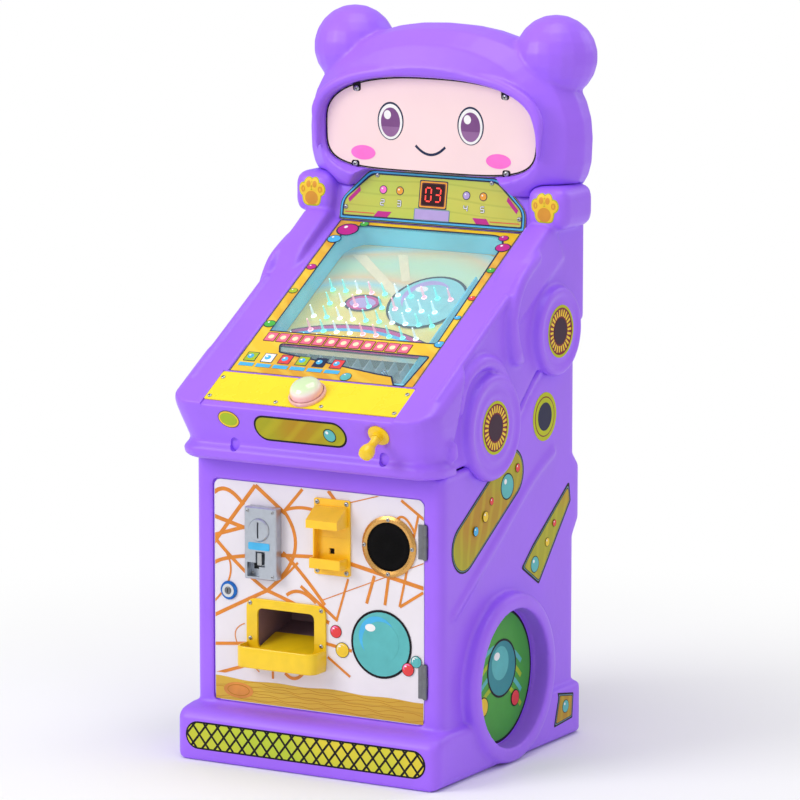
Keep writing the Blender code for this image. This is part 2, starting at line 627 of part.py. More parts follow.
def make_playfield(look):
    glass = [(-GLASS_HALF, 0), (GLASS_HALF, 0), (GLASS_HALF, GLASS_LENGTH), (-GLASS_HALF, GLASS_LENGTH)]
    prism("playfield_glass", glass, -GLASS_THICK, 0, look["glass"], SLOPED)
    half, low, high = GLASS_HALF - 0.010, 0.007, GLASS_LENGTH - 0.008
    floor, top, wall = -PLAYFIELD_DEPTH, -GLASS_THICK - FIT, 0.006
    outer = [(-half, low), (half, low), (half, high), (-half, high)]
    walls = prism("playfield_frame", outer, floor + FIT, top, look["teal"], SLOPED)
    inner = rounded([(wall - half, low + wall), (half - wall, low + wall), (half - wall, high - wall),
                     (wall - half, high - wall)], [0.004, 0.004, 0.040, 0.040], 4)
    lane = LANE_X - 0.0135
    cut(walls, prism("playfield_space", inner, -0.08, 0.02, frame=SLOPED),
        prism("lane_slot", circle(0.0065, 12), 0.5 * low - 0.05, 0.02, frame=PLUNGER_FRAME))
    add(walls, block("lane_wall", (lane - 0.0015, low + 0.001, floor + FIT),
                     (lane + 0.0015, 0.330, floor + 0.026), frame=SLOPED))
    prism("playfield_board", outer, floor - 0.006, floor, look["ochre"], SLOPED)
    sheet_top = floor + FIT + 0.0015
    left, right = wall - half + 0.001, lane - 0.003
    field = block("pin_field", (left, 0.115, floor + FIT), (right, high - 0.060, sheet_top),
                  look["glass"], SLOPED)
    pins = bmesh.new()
    pin_pitch = (right - left - 0.0755) / 5
    for row in range(6):
        count = 6 - row % 2
        for index in range(count):
            x = (index - (count - 1) / 2) * pin_pitch - 0.012
            y = 0.140 + row * 0.030
            spot = Matrix.Translation((x, y, floor + 0.0145))
            bmesh.ops.create_cone(pins, cap_ends=True, segments=8, radius1=0.0035, radius2=0.002,
                                  depth=0.027, matrix=spot)
    add(field, new_object("pin_shapes", pins, None, SLOPED))
    span = POCKETS * POCKET_PITCH
    first = -span / 2
    strip_low, strip_high = 0.058, 0.090
    comb = block("pocket_comb", (first - 0.001, strip_low, floor + FIT),
                 (first + span + 0.001, strip_high, floor + FIT + 0.0012), look["glass"], SLOPED)
    for index in range(POCKETS + 1):
        x = first + index * POCKET_PITCH
        add(comb, block("divider_shape", (x - 0.0009, strip_low + 0.001, floor + 0.0008),
                        (x + 0.0009, strip_high - 0.001, floor + 0.022), frame=SLOPED))
    gate_low = 0.042
    gate = block("pocket_gate", (first - 0.004, gate_low, floor + FIT),
                 (first + span - 0.004, gate_low + 0.012, floor + FIT + 0.0012), look["steel"], SLOPED)
    for index in range(POCKETS):
        x = first + (index + 0.5) * POCKET_PITCH
        add(gate, block("tooth_shape", (x - 0.004, gate_low + 0.001, floor + 0.0008),
                        (x + 0.004, gate_low + 0.011, floor + 0.012), frame=SLOPED))
    rest = floor + FIT + 0.0012 + CLEAR + MARBLE / 2
    pocket_y = gate_low + 0.012 + CLEAR + MARBLE / 2 + 0.005
    spots = [(LANE_X, PLUNGER_TIP + CLEAR + MARBLE / 2, rest - 0.0012)]
    spots += [(first + (pocket + 0.5) * POCKET_PITCH, pocket_y, rest)
              for pocket in (2, POCKETS // 2, POCKETS - 2)]
    for number, spot in enumerate(spots, 1):
        ball(f"marble_{number}", MARBLE / 2, look["marble"], SLOPED @ moved(*spot), count=14)
    pivot("gate_axis", *(SLOPED @ Vector((0, gate_low, floor))), gate)


# ---------------------------------------------------------------- console controls
PLUNGER_TIP = 0.016
BUTTON_FRAME = SLOPED @ moved(0, -0.045, 0)


def make_console(look):
    half = GLASS_HALF + 0.007
    plate = prism("control_plate", rounded([(-half, -0.0035 - PLATE_LENGTH), (half, -0.0035 - PLATE_LENGTH),
                                            (half, -0.0035), (-half, -0.0035)], 0.003), 0, PLATE_THICK,
                  look["yellow"], SLOPED)
    cut(plate, prism("plate_hole", circle(0.0135, 20), -0.01, 0.01, frame=BUTTON_FRAME))
    seat = PLATE_THICK + FIT
    turned("button_housing", [(0.0335, seat), (0.0335, seat + 0.004), (0.0315, seat + 0.006),
                              (0.0305, seat + 0.006), (0.0305, seat + 0.0015), (0.0095, seat + 0.0015),
                              (0.0095, -0.030), (0.0125, -0.030), (0.0125, seat)],
           look["pink"], BUTTON_FRAME)
    lift = seat + 0.0015 + FIT + BUTTON_TRAVEL
    dome = turned("dome_button", [(0, lift - 0.0305), (0.008, lift - 0.0305), (0.008, lift), (0.0295, lift),
                                  (0.0295, lift + 0.005), (0.0265, lift + 0.013), (0.0235, lift + 0.0165),
                                  (0.018, lift + 0.0200), (0.010, lift + 0.0222), (0, lift + 0.023)],
                  look["pink"], BUTTON_FRAME)
    pivot("button_axis", *(BUTTON_FRAME @ Vector((0, 0, lift))), dome)
    switch = block("button_switch", (-0.0125, -0.008, -0.048), (0.0125, 0.008, -0.030 - FIT), look["black"],
                   BUTTON_FRAME)
    add(switch, rod("switch_nib", 0.003, -0.031, lift - 0.0305 - BUTTON_TRAVEL - CLEAR, frame=BUTTON_FRAME,
                    count=10))
    # The plunger: local Z runs out of the console along the plunger's axis.
    face = -PLUNGER_FACE
    flange = turned("plunger_flange", [(0.020, face + FIT), (0.020, face + 0.0025), (0.010, face + 0.0045),
                                       (0.010, face + 0.012), (PLUNGER_ROD + CLEAR, face + 0.012),
                                       (PLUNGER_ROD + CLEAR, face - 0.018), (0.0068, face - 0.018),
                                       (0.0068, face + FIT)], look["yellow"], PLUNGER_FRAME)
    tip, collar = -PLUNGER_TIP, 0.018
    shank = turned("plunger_rod", [(0, tip), (PLUNGER_ROD, tip), (PLUNGER_ROD, collar), (0.0065, collar),
                                   (0.0065, collar + 0.003), (PLUNGER_ROD, collar + 0.003),
                                   (PLUNGER_ROD, face + 0.042), (0, face + 0.042)],
                   look["chrome"], PLUNGER_FRAME, 16)
    start, hole = face + 0.012 + CLEAR, PLUNGER_ROD + FIT
    knob = turned("plunger_knob", [(hole, start), (0.0085, start), (0.0070, start + 0.012),
                                   (0.0085, start + 0.020), (0.0125, start + 0.028), (0.0135, start + 0.036),
                                   (0.0115, start + 0.043), (0.006, start + 0.047), (0, start + 0.048),
                                   (0, face + 0.042 + FIT), (hole, face + 0.042 + FIT)],
                  look["yellow"], PLUNGER_FRAME)
    low, high = collar + 0.003 + FIT, face - 0.018 - FIT
    spring = turned("plunger_spring", [(0.0047, low), (0.0062, low), (0.0062, high), (0.0047, high)],
                    look["steel"], PLUNGER_FRAME, 16)
    pivot("plunger_axis", *(PLUNGER_FRAME @ Vector((0, 0, face))), shank, knob, spring)
    return flange


# ---------------------------------------------------------------- front door and what it carries
HINGE_X = DOOR_HALF + 0.0035
HINGE_Y = DOOR_Y - 0.0035
LOCK_SPOT = (-DOOR_HALF + 0.030, DOOR_BOTTOM + 0.196)
HINGE_LEAF_EDGE = HINGE_X - 0.0145
COIN_X, COIN_Z = -0.5 * DOOR_HALF, DOOR_BOTTOM + 0.2885        # plate centre
COIN_FACE = 0.020
SPEAKER_X, SPEAKER_Z = HINGE_LEAF_EDGE - 0.004 - SPEAKER_RADIUS, DOOR_BOTTOM + 0.305
BRACKET_HALF = 0.0355
BRACKET_X, BRACKET_Z = SPEAKER_X - SPEAKER_RADIUS - 0.0235 - BRACKET_HALF, DOOR_BOTTOM + 0.3105
TRAY_X, TRAY_Z = 0.147 - DOOR_HALF, DOOR_BOTTOM + 0.1285
TRAY_HALF, TRAY_RISE = 0.080, 0.0595
MOUTH_HALF, MOUTH_LOW, MOUTH_HIGH = 0.060, -0.035, 0.043


def hinge_centres():
    return DOOR_BOTTOM + 0.077, DOOR_TOP - 0.072


def make_hinges(look):
    """Each hinge has a fixed leaf with one knuckle, a door leaf with two, and a pin."""
    fixed, swinging = [], []
    third = HINGE_LENGTH / 3
    for name, centre in zip(("lower", "upper"), hinge_centres()):
        low = centre - HINGE_LENGTH / 2
        at_barrel = moved(HINGE_X, HINGE_Y, low)
        bore = HINGE_PIN + CLEAR
        spans = {"frame": [(third + FIT, 2 * third - FIT)], "door": [(0, third), (2 * third, HINGE_LENGTH)]}
        for part, group in (("frame", fixed), ("door", swinging)):
            label = f"hinge_{name}_{part}_leaf"
            if part == "frame":
                back = DOOR_Y + DOOR_SHEET
                leaf = block(label, (HINGE_X + 0.0005, HINGE_Y - 0.0005, low + third + FIT),
                             (HINGE_X + HINGE_BARREL + 0.0008, back, low + 2 * third - FIT), look["steel"])
            else:
                leaf = block(label, (HINGE_LEAF_EDGE, DOOR_Y - FIT - 0.0012, low),
                             (HINGE_X - 0.0010, DOOR_Y - FIT, low + HINGE_LENGTH), look["steel"])
                cut(leaf, rod("knuckle_room", HINGE_BARREL + CLEAR, third - FIT, 2 * third + FIT,
                              frame=at_barrel, count=16))
            for start, end in spans[part]:
                add(leaf, rod("knuckle_shape", HINGE_BARREL, start, end, frame=at_barrel, count=16))
            cut(leaf, rod("knuckle_bore", bore, -0.01, HINGE_LENGTH + 0.01, frame=at_barrel, count=16))
            group.append(leaf)
        fixed.append(rod(f"hinge_{name}_pin", HINGE_PIN, -0.001, HINGE_LENGTH + 0.001, look["steel"],
                         at_barrel, 12))
    return swinging


def make_door(look):
    outline = rounded(rectangle(DOOR_HALF - 0.0005, DOOR_BOTTOM, DOOR_TOP), DOOR_CORNER, 3)
    door = prism("front_door", outline, -DOOR_SHEET, 0, look["white"], ON_DOOR)
    cut(door, prism("lock_hole", circle(0.0108, 20, *LOCK_SPOT), -0.01, 0.01, frame=ON_DOOR),
        block("coin_hole", (COIN_X - 0.026, COIN_Z - 0.052, -0.01), (COIN_X + 0.026, COIN_Z + 0.052, 0.01),
              frame=ON_DOOR),
        prism("speaker_hole", circle(0.041, 28, SPEAKER_X, SPEAKER_Z), -0.01, 0.01, frame=ON_DOOR),
        block("tray_hole", (TRAY_X - MOUTH_HALF - 0.006, TRAY_Z + MOUTH_LOW - 0.006, -0.01),
              (TRAY_X + MOUTH_HALF + 0.006, TRAY_Z + MOUTH_HIGH + 0.006, 0.01), frame=ON_DOOR),
        block("cable_hole", (BRACKET_X - 0.006, BRACKET_Z - 0.030, -0.01),
              (BRACKET_X + 0.006, BRACKET_Z - 0.018, 0.01), frame=ON_DOOR))
    carried = [door] + make_hinges(look) + make_coin_unit(look) + make_bracket(look)
    carried += make_speaker(look) + make_tray(look) + make_lock(look)
    pivot("door_axis", HINGE_X, HINGE_Y, DOOR_BOTTOM, *carried)


def make_lock(look):
    at_lock = ON_DOOR @ moved(*LOCK_SPOT, 0)
    bore = 0.0072
    barrel = turned("lock_barrel", [(bore, 0.004), (0.0150, 0.004), (0.0165, 0.0025), (0.0165, FIT),
                                    (0.0105, FIT), (0.0105, -0.0070), (bore, -0.0070)], look["chrome"], at_lock)
    cylinder = turned("lock_cylinder", [(0, -0.0120), (bore - CLEAR, -0.0120), (bore - CLEAR, 0.0055),
                                        (bore - 0.002, 0.0065), (0, 0.0065)], look["chrome"], at_lock, 20)
    cut(cylinder, block("key_slot", (-0.0008, -0.004, 0.002), (0.0008, 0.004, 0.02), frame=at_lock))
    cam = prism("lock_cam", rounded([(-0.008, -0.032), (0.008, -0.032), (0.008, 0.008), (-0.008, 0.008)],
                                    0.005, 2), -0.0103, -0.0078, look["steel"], at_lock)
    cut(cam, prism("cam_hole", circle(bore - CLEAR + FIT, 16), -0.1, 0.1, frame=at_lock))
    pivot("lock_axis", *(at_lock @ Vector((0, 0, 0))), cylinder, cam)
    return [barrel]


def make_coin_unit(look):
    """The cast selector front, its slot disc, the return lever and the mechanism behind."""
    at = ON_DOOR @ moved(COIN_X, COIN_Z, 0)
    wide, tall = COIN_PLATE_WIDTH / 2, COIN_PLATE_HEIGHT / 2
    plate = prism("coin_plate", rounded(rectangle(wide, -tall, tall), 0.003), FIT, COIN_FACE, look["cast"],
                  at, edge=0.002, segments=1)
    over_slot = at @ moved(-0.002, 0.024, 0)
    cut(plate, rod("disc_seat", 0.0205 + FIT, COIN_FACE - 0.004, 0.1, frame=over_slot, count=28),
        block("coin_way", (-0.004, 0.008, -0.1), (0.000, 0.040, 0.1), frame=at),
        block("lever_room", (-0.009, -0.041, 0.004), (0.010, -0.014, 0.1), frame=at),
        block("cup_room", (-0.026, -0.059, 0.004), (-0.002, -0.034, 0.1), frame=at),
        block("cup_way", (-0.022, -0.048, -0.1), (-0.006, -0.037, 0.1), frame=at))
    at_disc = at @ moved(-0.002, 0.024, COIN_FACE - 0.004)
    disc = turned("coin_slot_disc", [(0, FIT), (0.0205, FIT), (0.0205, 0.005), (0.0185, 0.0075),
                                     (0.006, 0.0085), (0, 0.0085)], look["chrome"], at_disc, 28)
    cut(disc, block("coin_slot", (-0.0016, -0.014, -0.1), (0.0016, 0.014, 0.1), frame=at_disc))
    at_lever = at @ moved(0.0005, -0.018, 0.013)
    lever = prism("coin_return_lever", rounded([(-0.0045, -0.020), (0.0045, -0.020), (0.0045, 0.0025),
                                                (-0.0045, 0.0025)], 0.002), -0.0015, 0.011,
                  look["chrome"], at_lever, edge=0.0012, segments=1)
    add(lever, rod("lever_pin", 0.0014, -0.0095 + FIT, 0.0095 - FIT, count=8,
                   frame=at_lever @ Matrix.Rotation(QUARTER, 4, "Y")))
    pivot("coin_lever_axis", *(at_lever @ Vector((0, 0, 0))), lever)
    mech = block("coin_mechanism", (-0.0250, -0.050, -0.068), (0.0250, 0.050, -FIT), look["grey"], at,
                 edge=0.002)
    cut(mech, block("mech_step", (-0.03, -0.06, -0.1), (0.012, -0.020, -0.045), frame=at),
        block("mech_channel", (-0.004, -0.010, -0.060), (0.001, 0.06, 0.1), frame=at))
    return [plate, disc, mech]


def make_bracket(look):
    """Yellow moulded holder for a payment box: a hooded pocket over a small ledge."""
    at = ON_DOOR @ moved(BRACKET_X, BRACKET_Z, 0)
    plate = prism("payment_bracket", rounded(rectangle(BRACKET_HALF, -0.0665, 0.0665), 0.003), FIT, 0.004,
                  look["yellow"], at)
    side_on = at @ SIDE_ON
    hood = [(0.002, 0.020), (0.002, 0.054), (0.010, 0.054), (0.040, 0.034), (0.040, 0.020)]
    add(plate, prism("bracket_hood", hood, -0.031, 0.031, frame=side_on))
    cut(plate, prism("bracket_pocket", [(0.0035, 0.0), (0.0035, 0.044), (0.010, 0.050), (0.0375, 0.031),
                                        (0.0375, 0.0)], -0.0285, 0.0285, frame=side_on))
    add(plate, block("bracket_ledge", (-0.031, -0.052, 0.002), (0.031, -0.034, 0.030), frame=at, edge=0.001),
        block("bracket_web", (-0.031, -0.036, 0.002), (-0.028, 0.022, 0.016), frame=at))
    cut(plate, block("ledge_hollow", (-0.0285, -0.0495, 0.0042), (0.0285, 0.0, 0.0275), frame=at),
        block("cable_way", (-0.005, -0.029, -0.1), (0.005, -0.019, 0.1), frame=at))
    return [plate]


def make_speaker(look):
    at = ON_DOOR @ moved(SPEAKER_X, SPEAKER_Z, 0)
    ring = turned("speaker_ring", [(0.0425, FIT), (SPEAKER_RADIUS, FIT), (SPEAKER_RADIUS, 0.003),
                                   (0.048, 0.006), (0.0425, 0.0045)], look["brass"], at, 36)
    grille = turned("speaker_grille", [(0, 0.0008), (0.0421, 0.0008), (0.0421, 0.0025), (0.030, 0.0045),
                                       (0, 0.0060)], look["black"], at, 32)
    driver = turned("speaker_driver", [(0, -0.046), (0.022, -0.046), (0.022, -0.028), (0.045, -0.012),
                                       (0.0465, -DOOR_SHEET - FIT), (0.038, -DOOR_SHEET - FIT),
                                       (0.016, -0.020), (0, -0.022)], look["black"], at, 28)
    return [ring, grille, driver]


def make_tray(look):
    """Prize outlet: a flange with a mouth, a bowl in front of it and a chute behind."""
    at = ON_DOOR @ moved(TRAY_X, TRAY_Z, 0)
    tray = prism("prize_tray", rounded(rectangle(TRAY_HALF, -TRAY_RISE, TRAY_RISE), 0.008), FIT, 0.006,
                 look["yellow"], at, edge=0.001, segments=1)
    bowl_half, bowl_low, bowl_lip, bowl_out = MOUTH_HALF + 0.009, -0.056, -0.010, 0.046
    bowl = rounded([(0.002, bowl_low), (bowl_out - 0.012, bowl_low), (bowl_out, bowl_low + 0.018),
                    (bowl_out, bowl_lip), (0.002, bowl_lip)], [0, 0.010, 0.010, 0.002, 0], 2)
    room = rounded([(-0.02, bowl_low + 0.003), (bowl_out - 0.014, bowl_low + 0.003),
                    (bowl_out - 0.003, bowl_low + 0.019), (bowl_out - 0.003, 0.2), (-0.02, 0.2)],
                   [0, 0.008, 0.008, 0, 0], 2)
    side_on = at @ SIDE_ON
    add(tray, prism("bowl_shape", bowl, -bowl_half, bowl_half, frame=side_on, edge=0.004, segments=2))
    cut(tray, prism("bowl_room", [(max(z, 0.0062), y) for z, y in room], -bowl_half + 0.003,
                    bowl_half - 0.003, frame=side_on),
        block("mouth", (-MOUTH_HALF, MOUTH_LOW, -0.05), (MOUTH_HALF, MOUTH_HIGH, 0.05), frame=at, edge=0.004))
    chute = block("prize_chute", (-MOUTH_HALF - 0.004, MOUTH_LOW - 0.004, -0.118),
                  (MOUTH_HALF + 0.004, MOUTH_HIGH + 0.004, -FIT), look["yellow"], at)
    ramp = [(0.01, MOUTH_LOW), (0.01, MOUTH_HIGH), (-0.050, MOUTH_HIGH), (-0.050, 0.1), (-0.114, 0.1),
            (-0.114, MOUTH_LOW + 0.035)]
    cut(chute, prism("chute_way", ramp, -MOUTH_HALF, MOUTH_HALF, frame=side_on))
    return [tray, chute]


# ---------------------------------------------------------------- inside and rear
INLET_SPOT = (0.060, (FOOT_HEIGHT + REAR_COVER_BOTTOM) / 2)
SWITCH_SPOT = (0.110, INLET_SPOT[1])
ROCKER_TILT = math.radians(8)
HOPPER_X, HOPPER_Y = TRAY_X, NOSE + 0.250


def make_inside(look):
    floor = WALL * 1.5
    back = CABINET_BACK - WALL
    shelf = block("shelf", (-CAVITY_HALF + FIT, NOSE + 0.185, SHELF_Z),
                  (CAVITY_HALF - FIT, back - FIT, SHELF_Z + 0.008), look["grey"])
    top = SHELF_Z + 0.008 + FIT
    at = moved(HOPPER_X, HOPPER_Y, top)
    cut(shelf, rod("drive_hole", 0.012, -0.02, 0.02, frame=at))
    bowl = block("hopper_bowl", (-0.060, -0.062, 0), (0.060, 0.062, 0.085), look["white"], at, edge=0.003)
    cut(bowl, rod("bowl_room", 0.052, 0.004, 0.2, frame=at, count=28),
        rod("spindle_hole", 0.0045, -0.1, 0.1, frame=at),
        block("hopper_outlet", (-0.013, -0.1, 0.0045), (0.013, -0.040, 0.024), frame=at))
    disc = turned("hopper_disc", [(0, -0.022), (0.0035, -0.022), (0.0035, 0.0046), (0.050, 0.0046),
                                  (0.050, 0.0105), (0.010, 0.0105), (0.006, 0.020), (0, 0.022)],
                  look["blue"], at, 32)
    for index in range(6):
        turn = Matrix.Rotation(index * math.pi / 3, 4, "Z")
        cut(disc, rod("disc_pocket", 0.0095, -0.01, 0.1, frame=at @ turn @ moved(0.034, 0, 0), count=14))
    pivot("hopper_axis", *(at @ Vector((0, 0, 0))), disc)
    turned("hopper_motor", [(0.0042, -0.0086), (0.020, -0.0086), (0.020, -0.046), (0, -0.046),
                            (0, -0.0225), (0.0042, -0.0225)], look["steel"], at)
    at_cash = moved(COIN_X - 0.007, NOSE + 0.185, floor)
    cash = block("cash_box", (-0.083, -0.075, FIT), (0.083, 0.075, 0.090), look["grey"], at_cash, edge=0.001)
    cut(cash, block("cash_room", (-0.0815, -0.0735, 0.0018), (0.0815, 0.0735, 0.2), frame=at_cash))
    block("power_supply", (-0.060, -0.080, FIT), (0.060, 0.080, 0.048), look["steel"],
          moved(CAVITY_HALF - 0.137, NOSE + 0.350, floor), edge=0.002)
    board = block("control_board", (0.045, back - 0.008, CONSOLE_Z - 0.148),
                  (0.195, back - 0.0064, CONSOLE_Z - 0.053), look["green"])
    for x, z in ((0.055, -0.138), (0.185, -0.138), (0.055, -0.063), (0.185, -0.063)):
        add(board, rod("board_pillar", 0.003, 0, 0.0068 + BUMP_BACK - CABINET_BACK,
                       frame=moved(x, back - 0.0070, CONSOLE_Z + z) @ Matrix.Rotation(-QUARTER, 4, "X"), count=8))
    for low, high in (((0.080, -0.130), (0.110, -0.090)), ((0.125, -0.120), (0.140, -0.070)),
                      ((0.150, -0.130), (0.178, -0.118)), ((0.065, -0.078), (0.115, -0.064))):
        add(board, block("board_part", (low[0], back - 0.018, CONSOLE_Z + low[1]),
                         (high[0], back - 0.0075, CONSOLE_Z + high[1])))


def make_rear(look):
    cover = prism("rear_cover", rounded(rectangle(REAR_COVER_HALF, REAR_COVER_BOTTOM,
                                                  REAR_COVER_BOTTOM + REAR_COVER_HEIGHT), 0.010, 3),
                  FIT, 0.003, look["black"], AT_REAR)
    for row in range(6):
        low = REAR_COVER_BOTTOM + 0.055 + row * 0.016
        cut(cover, block("vent", (-0.060, low, -0.01), (0.060, low + 0.006, 0.01), frame=AT_REAR))
    at = AT_REAR @ moved(*INLET_SPOT, 0)
    inlet = block("power_inlet", (-0.0140, -0.0105, -0.022), (0.0140, 0.0105, 0.001), look["black"], at)
    add(inlet, block("inlet_flange", (-0.025, -0.014, FIT), (0.025, 0.014, 0.003), frame=at, edge=0.001))
    cut(inlet, block("inlet_socket", (-0.0115, -0.008, -0.016), (0.0115, 0.008, 0.02), frame=at))
    for x, y in ((-0.006, -0.001), (0.006, -0.001), (0, 0.003)):
        add(inlet, block("inlet_pin", (x - 0.001, y - 0.0025, -0.018), (x + 0.001, y + 0.0025, -0.003),
                         frame=at))
    at = AT_REAR @ moved(*SWITCH_SPOT, 0)
    frame = block("power_switch_frame", (-0.0100, -0.0070, -0.018), (0.0100, 0.0070, 0.001), look["black"], at)
    add(frame, block("switch_flange", (-0.0125, -0.0095, FIT), (0.0125, 0.0095, 0.002), frame=at))
    cut(frame, block("switch_room", (-0.0085, -0.0058, -0.014), (0.0085, 0.0058, 0.02), frame=at))
    lying = Matrix(((1, 0, 0, 0), (0, 0, -1, 0), (0, 1, 0, 0), (0, 0, 0, 1)))
    wave = [(-0.0078, 0.0015), (-0.0060, -0.0035), (0.0, -0.0050), (0.0060, -0.0035), (0.0078, 0.0015),
            (0.0074, 0.0030), (0.0, 0.0012), (-0.0074, 0.0030)]
    tilt = Matrix.Rotation(-ROCKER_TILT, 4, "Y")
    rocker = prism("power_rocker", wave, -0.0052, 0.0052, look["black"], at @ tilt @ lying)
    pivot("rocker_axis", *(at @ Vector((0, 0, 0))), rocker)


def build():
    for obj in list(bpy.data.objects):
        bpy.data.objects.remove(obj)
    look = make_materials()
    make_lower_cabinet(look)
    make_upper_shell(look)
    make_head_hood(look)
    make_face(look)
    make_display(look)
    make_playfield(look)
    make_console(look)
    make_door(look)
    make_inside(look)
    make_rear(look)


build()
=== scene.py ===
"""Looks of a coin-operated marble pinball cabinet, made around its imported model.

Metres and the model's own frame throughout: +Z up, the front towards -Y. The mouldings get soft
skins made from their own solids; prints and stickers are thin pieces laid on the panel under them.
"""

import json
import math
import random

import bmesh
import bpy
from mathutils import Matrix, Vector
from mathutils.bvhtree import BVHTree

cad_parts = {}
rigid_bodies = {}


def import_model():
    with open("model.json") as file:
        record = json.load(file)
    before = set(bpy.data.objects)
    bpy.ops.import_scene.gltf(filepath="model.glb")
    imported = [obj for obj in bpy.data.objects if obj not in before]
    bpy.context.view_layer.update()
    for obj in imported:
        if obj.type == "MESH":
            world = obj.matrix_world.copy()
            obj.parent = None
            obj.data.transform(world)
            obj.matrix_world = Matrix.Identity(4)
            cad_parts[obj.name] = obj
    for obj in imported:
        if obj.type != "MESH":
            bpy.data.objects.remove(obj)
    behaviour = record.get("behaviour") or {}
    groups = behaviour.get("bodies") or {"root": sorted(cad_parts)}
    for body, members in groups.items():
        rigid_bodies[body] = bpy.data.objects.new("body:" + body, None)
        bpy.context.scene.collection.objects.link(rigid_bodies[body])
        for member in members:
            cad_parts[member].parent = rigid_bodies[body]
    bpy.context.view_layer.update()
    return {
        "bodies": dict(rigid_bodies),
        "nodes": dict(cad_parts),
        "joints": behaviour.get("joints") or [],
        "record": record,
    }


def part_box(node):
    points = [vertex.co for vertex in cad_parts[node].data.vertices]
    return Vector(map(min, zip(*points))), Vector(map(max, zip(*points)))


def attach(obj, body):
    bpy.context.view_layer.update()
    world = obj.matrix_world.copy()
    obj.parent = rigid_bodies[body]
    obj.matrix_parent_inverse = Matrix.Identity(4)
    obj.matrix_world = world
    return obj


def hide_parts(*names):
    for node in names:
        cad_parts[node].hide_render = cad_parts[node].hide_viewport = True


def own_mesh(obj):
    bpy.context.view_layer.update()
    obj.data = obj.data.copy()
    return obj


bl_info = {
    "name": "Marble Pinball Cabinet Looks",
    "version": (1, 0, 0),
    "blender": (4, 5, 0),
    "location": "View3D > Sidebar > Marbles",
    "description": "Skins, prints, stickers and finishes for a children's marble pinball cabinet",
    "category": "Object",
}

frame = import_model()
NODES = frame["nodes"]

# ---------------------------------------------------------------- planes, read from the model
SLOPE, DISPLAY_LEAN = math.radians(30), math.radians(9)
SHEET = 0.003                     # thickness of the glass, display and face sheets
QUARTER = math.pi / 2
glass_low, glass_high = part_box("playfield_glass")
GLASS_HALF = glass_high.x
GLASS_LENGTH = (glass_high.y - glass_low.y - SHEET * math.sin(SLOPE)) / math.cos(SLOPE)
GLASS_Z = glass_high.z - GLASS_LENGTH * math.sin(SLOPE)
display_low, display_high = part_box("display_panel")
face_low, face_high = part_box("face_panel")
door_low, door_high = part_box("front_door")
DOOR_Y = door_low.y
FACE_Z = (face_low.z + face_high.z) / 2
FLOOR_OF_FIELD = -0.042 + 0.0003  # the board's face under the glass, and a hair for the print
SIDE_WALL = 0.247                 # half the width over the flat sides
WHEEL_Y, WHEEL_Z = -0.0054, 0.150  # middle of the wheel rings


def moved(x, y, z):
    return Matrix.Translation((x, y, z))


def facing_front(x, y, z):
    """Local X across, local Y up, local Z out towards the front."""
    return moved(x, y, z) @ Matrix.Rotation(QUARTER, 4, "X")


def facing_side(side, x):
    """Local X towards the back on side 1 and the front on side -1, local Y up, local Z outwards."""
    turn = Matrix(((0, 0, side, 0), (side, 0, 0, 0), (0, 1, 0, 0), (0, 0, 0, 1)))
    return moved(side * x, 0, 0) @ turn


SLOPED = moved(0, glass_low.y, GLASS_Z) @ Matrix.Rotation(SLOPE, 4, "X")
ON_FIELD = SLOPED @ moved(0, 0, FLOOR_OF_FIELD)
ON_DOOR = facing_front(0, DOOR_Y, 0)
ON_FACE = facing_front(0, face_low.y, FACE_Z)
ON_DISPLAY = (moved(0, display_low.y, display_low.z + SHEET * math.sin(DISPLAY_LEAN))
              @ Matrix.Rotation(-DISPLAY_LEAN, 4, "X") @ Matrix.Rotation(QUARTER, 4, "X"))

# Where the prints of each panel go: its frame, the body it rides on and a slot name.
DOOR = (ON_DOOR, "door", "printed_white_sheet")
FACE = (ON_FACE, "cabinet", "pink_acrylic")
DISPLAY = (ON_DISPLAY, "cabinet", "printed_lime_panel")
GLASS = (SLOPED, "cabinet", "printed_ochre_panel")
FIELD = (ON_FIELD, "cabinet", "printed_ochre_panel")


# ---------------------------------------------------------------- materials
def linear(code):
    """An sRGB hex colour as linear RGBA."""
    parts = [int(code[i:i + 2], 16) / 255 for i in (1, 3, 5)]
    return (*[c / 12.92 if c <= 0.04045 else ((c + 0.055) / 1.055) ** 2.4 for c in parts], 1.0)


def node(tree, kind, links=None, stops=None, **settings):
    """Adds a node. Each link sets the socket of that name or number, to a constant or a socket."""
    made = tree.nodes.new(kind)
    for key, value in settings.items():
        setattr(made, key, value)
    for key, value in (links or {}).items():
        if isinstance(value, bpy.types.NodeSocket):
            tree.links.new(value, made.inputs[key])
        else:
            made.inputs[key].default_value = value
    if stops:
        elements = made.color_ramp.elements
        while len(elements) < len(stops):
            elements.new(1.0)
        for element, (place, code) in zip(elements, stops):
            element.position, element.color = place, linear(code)
    return made


MATERIALS = {}


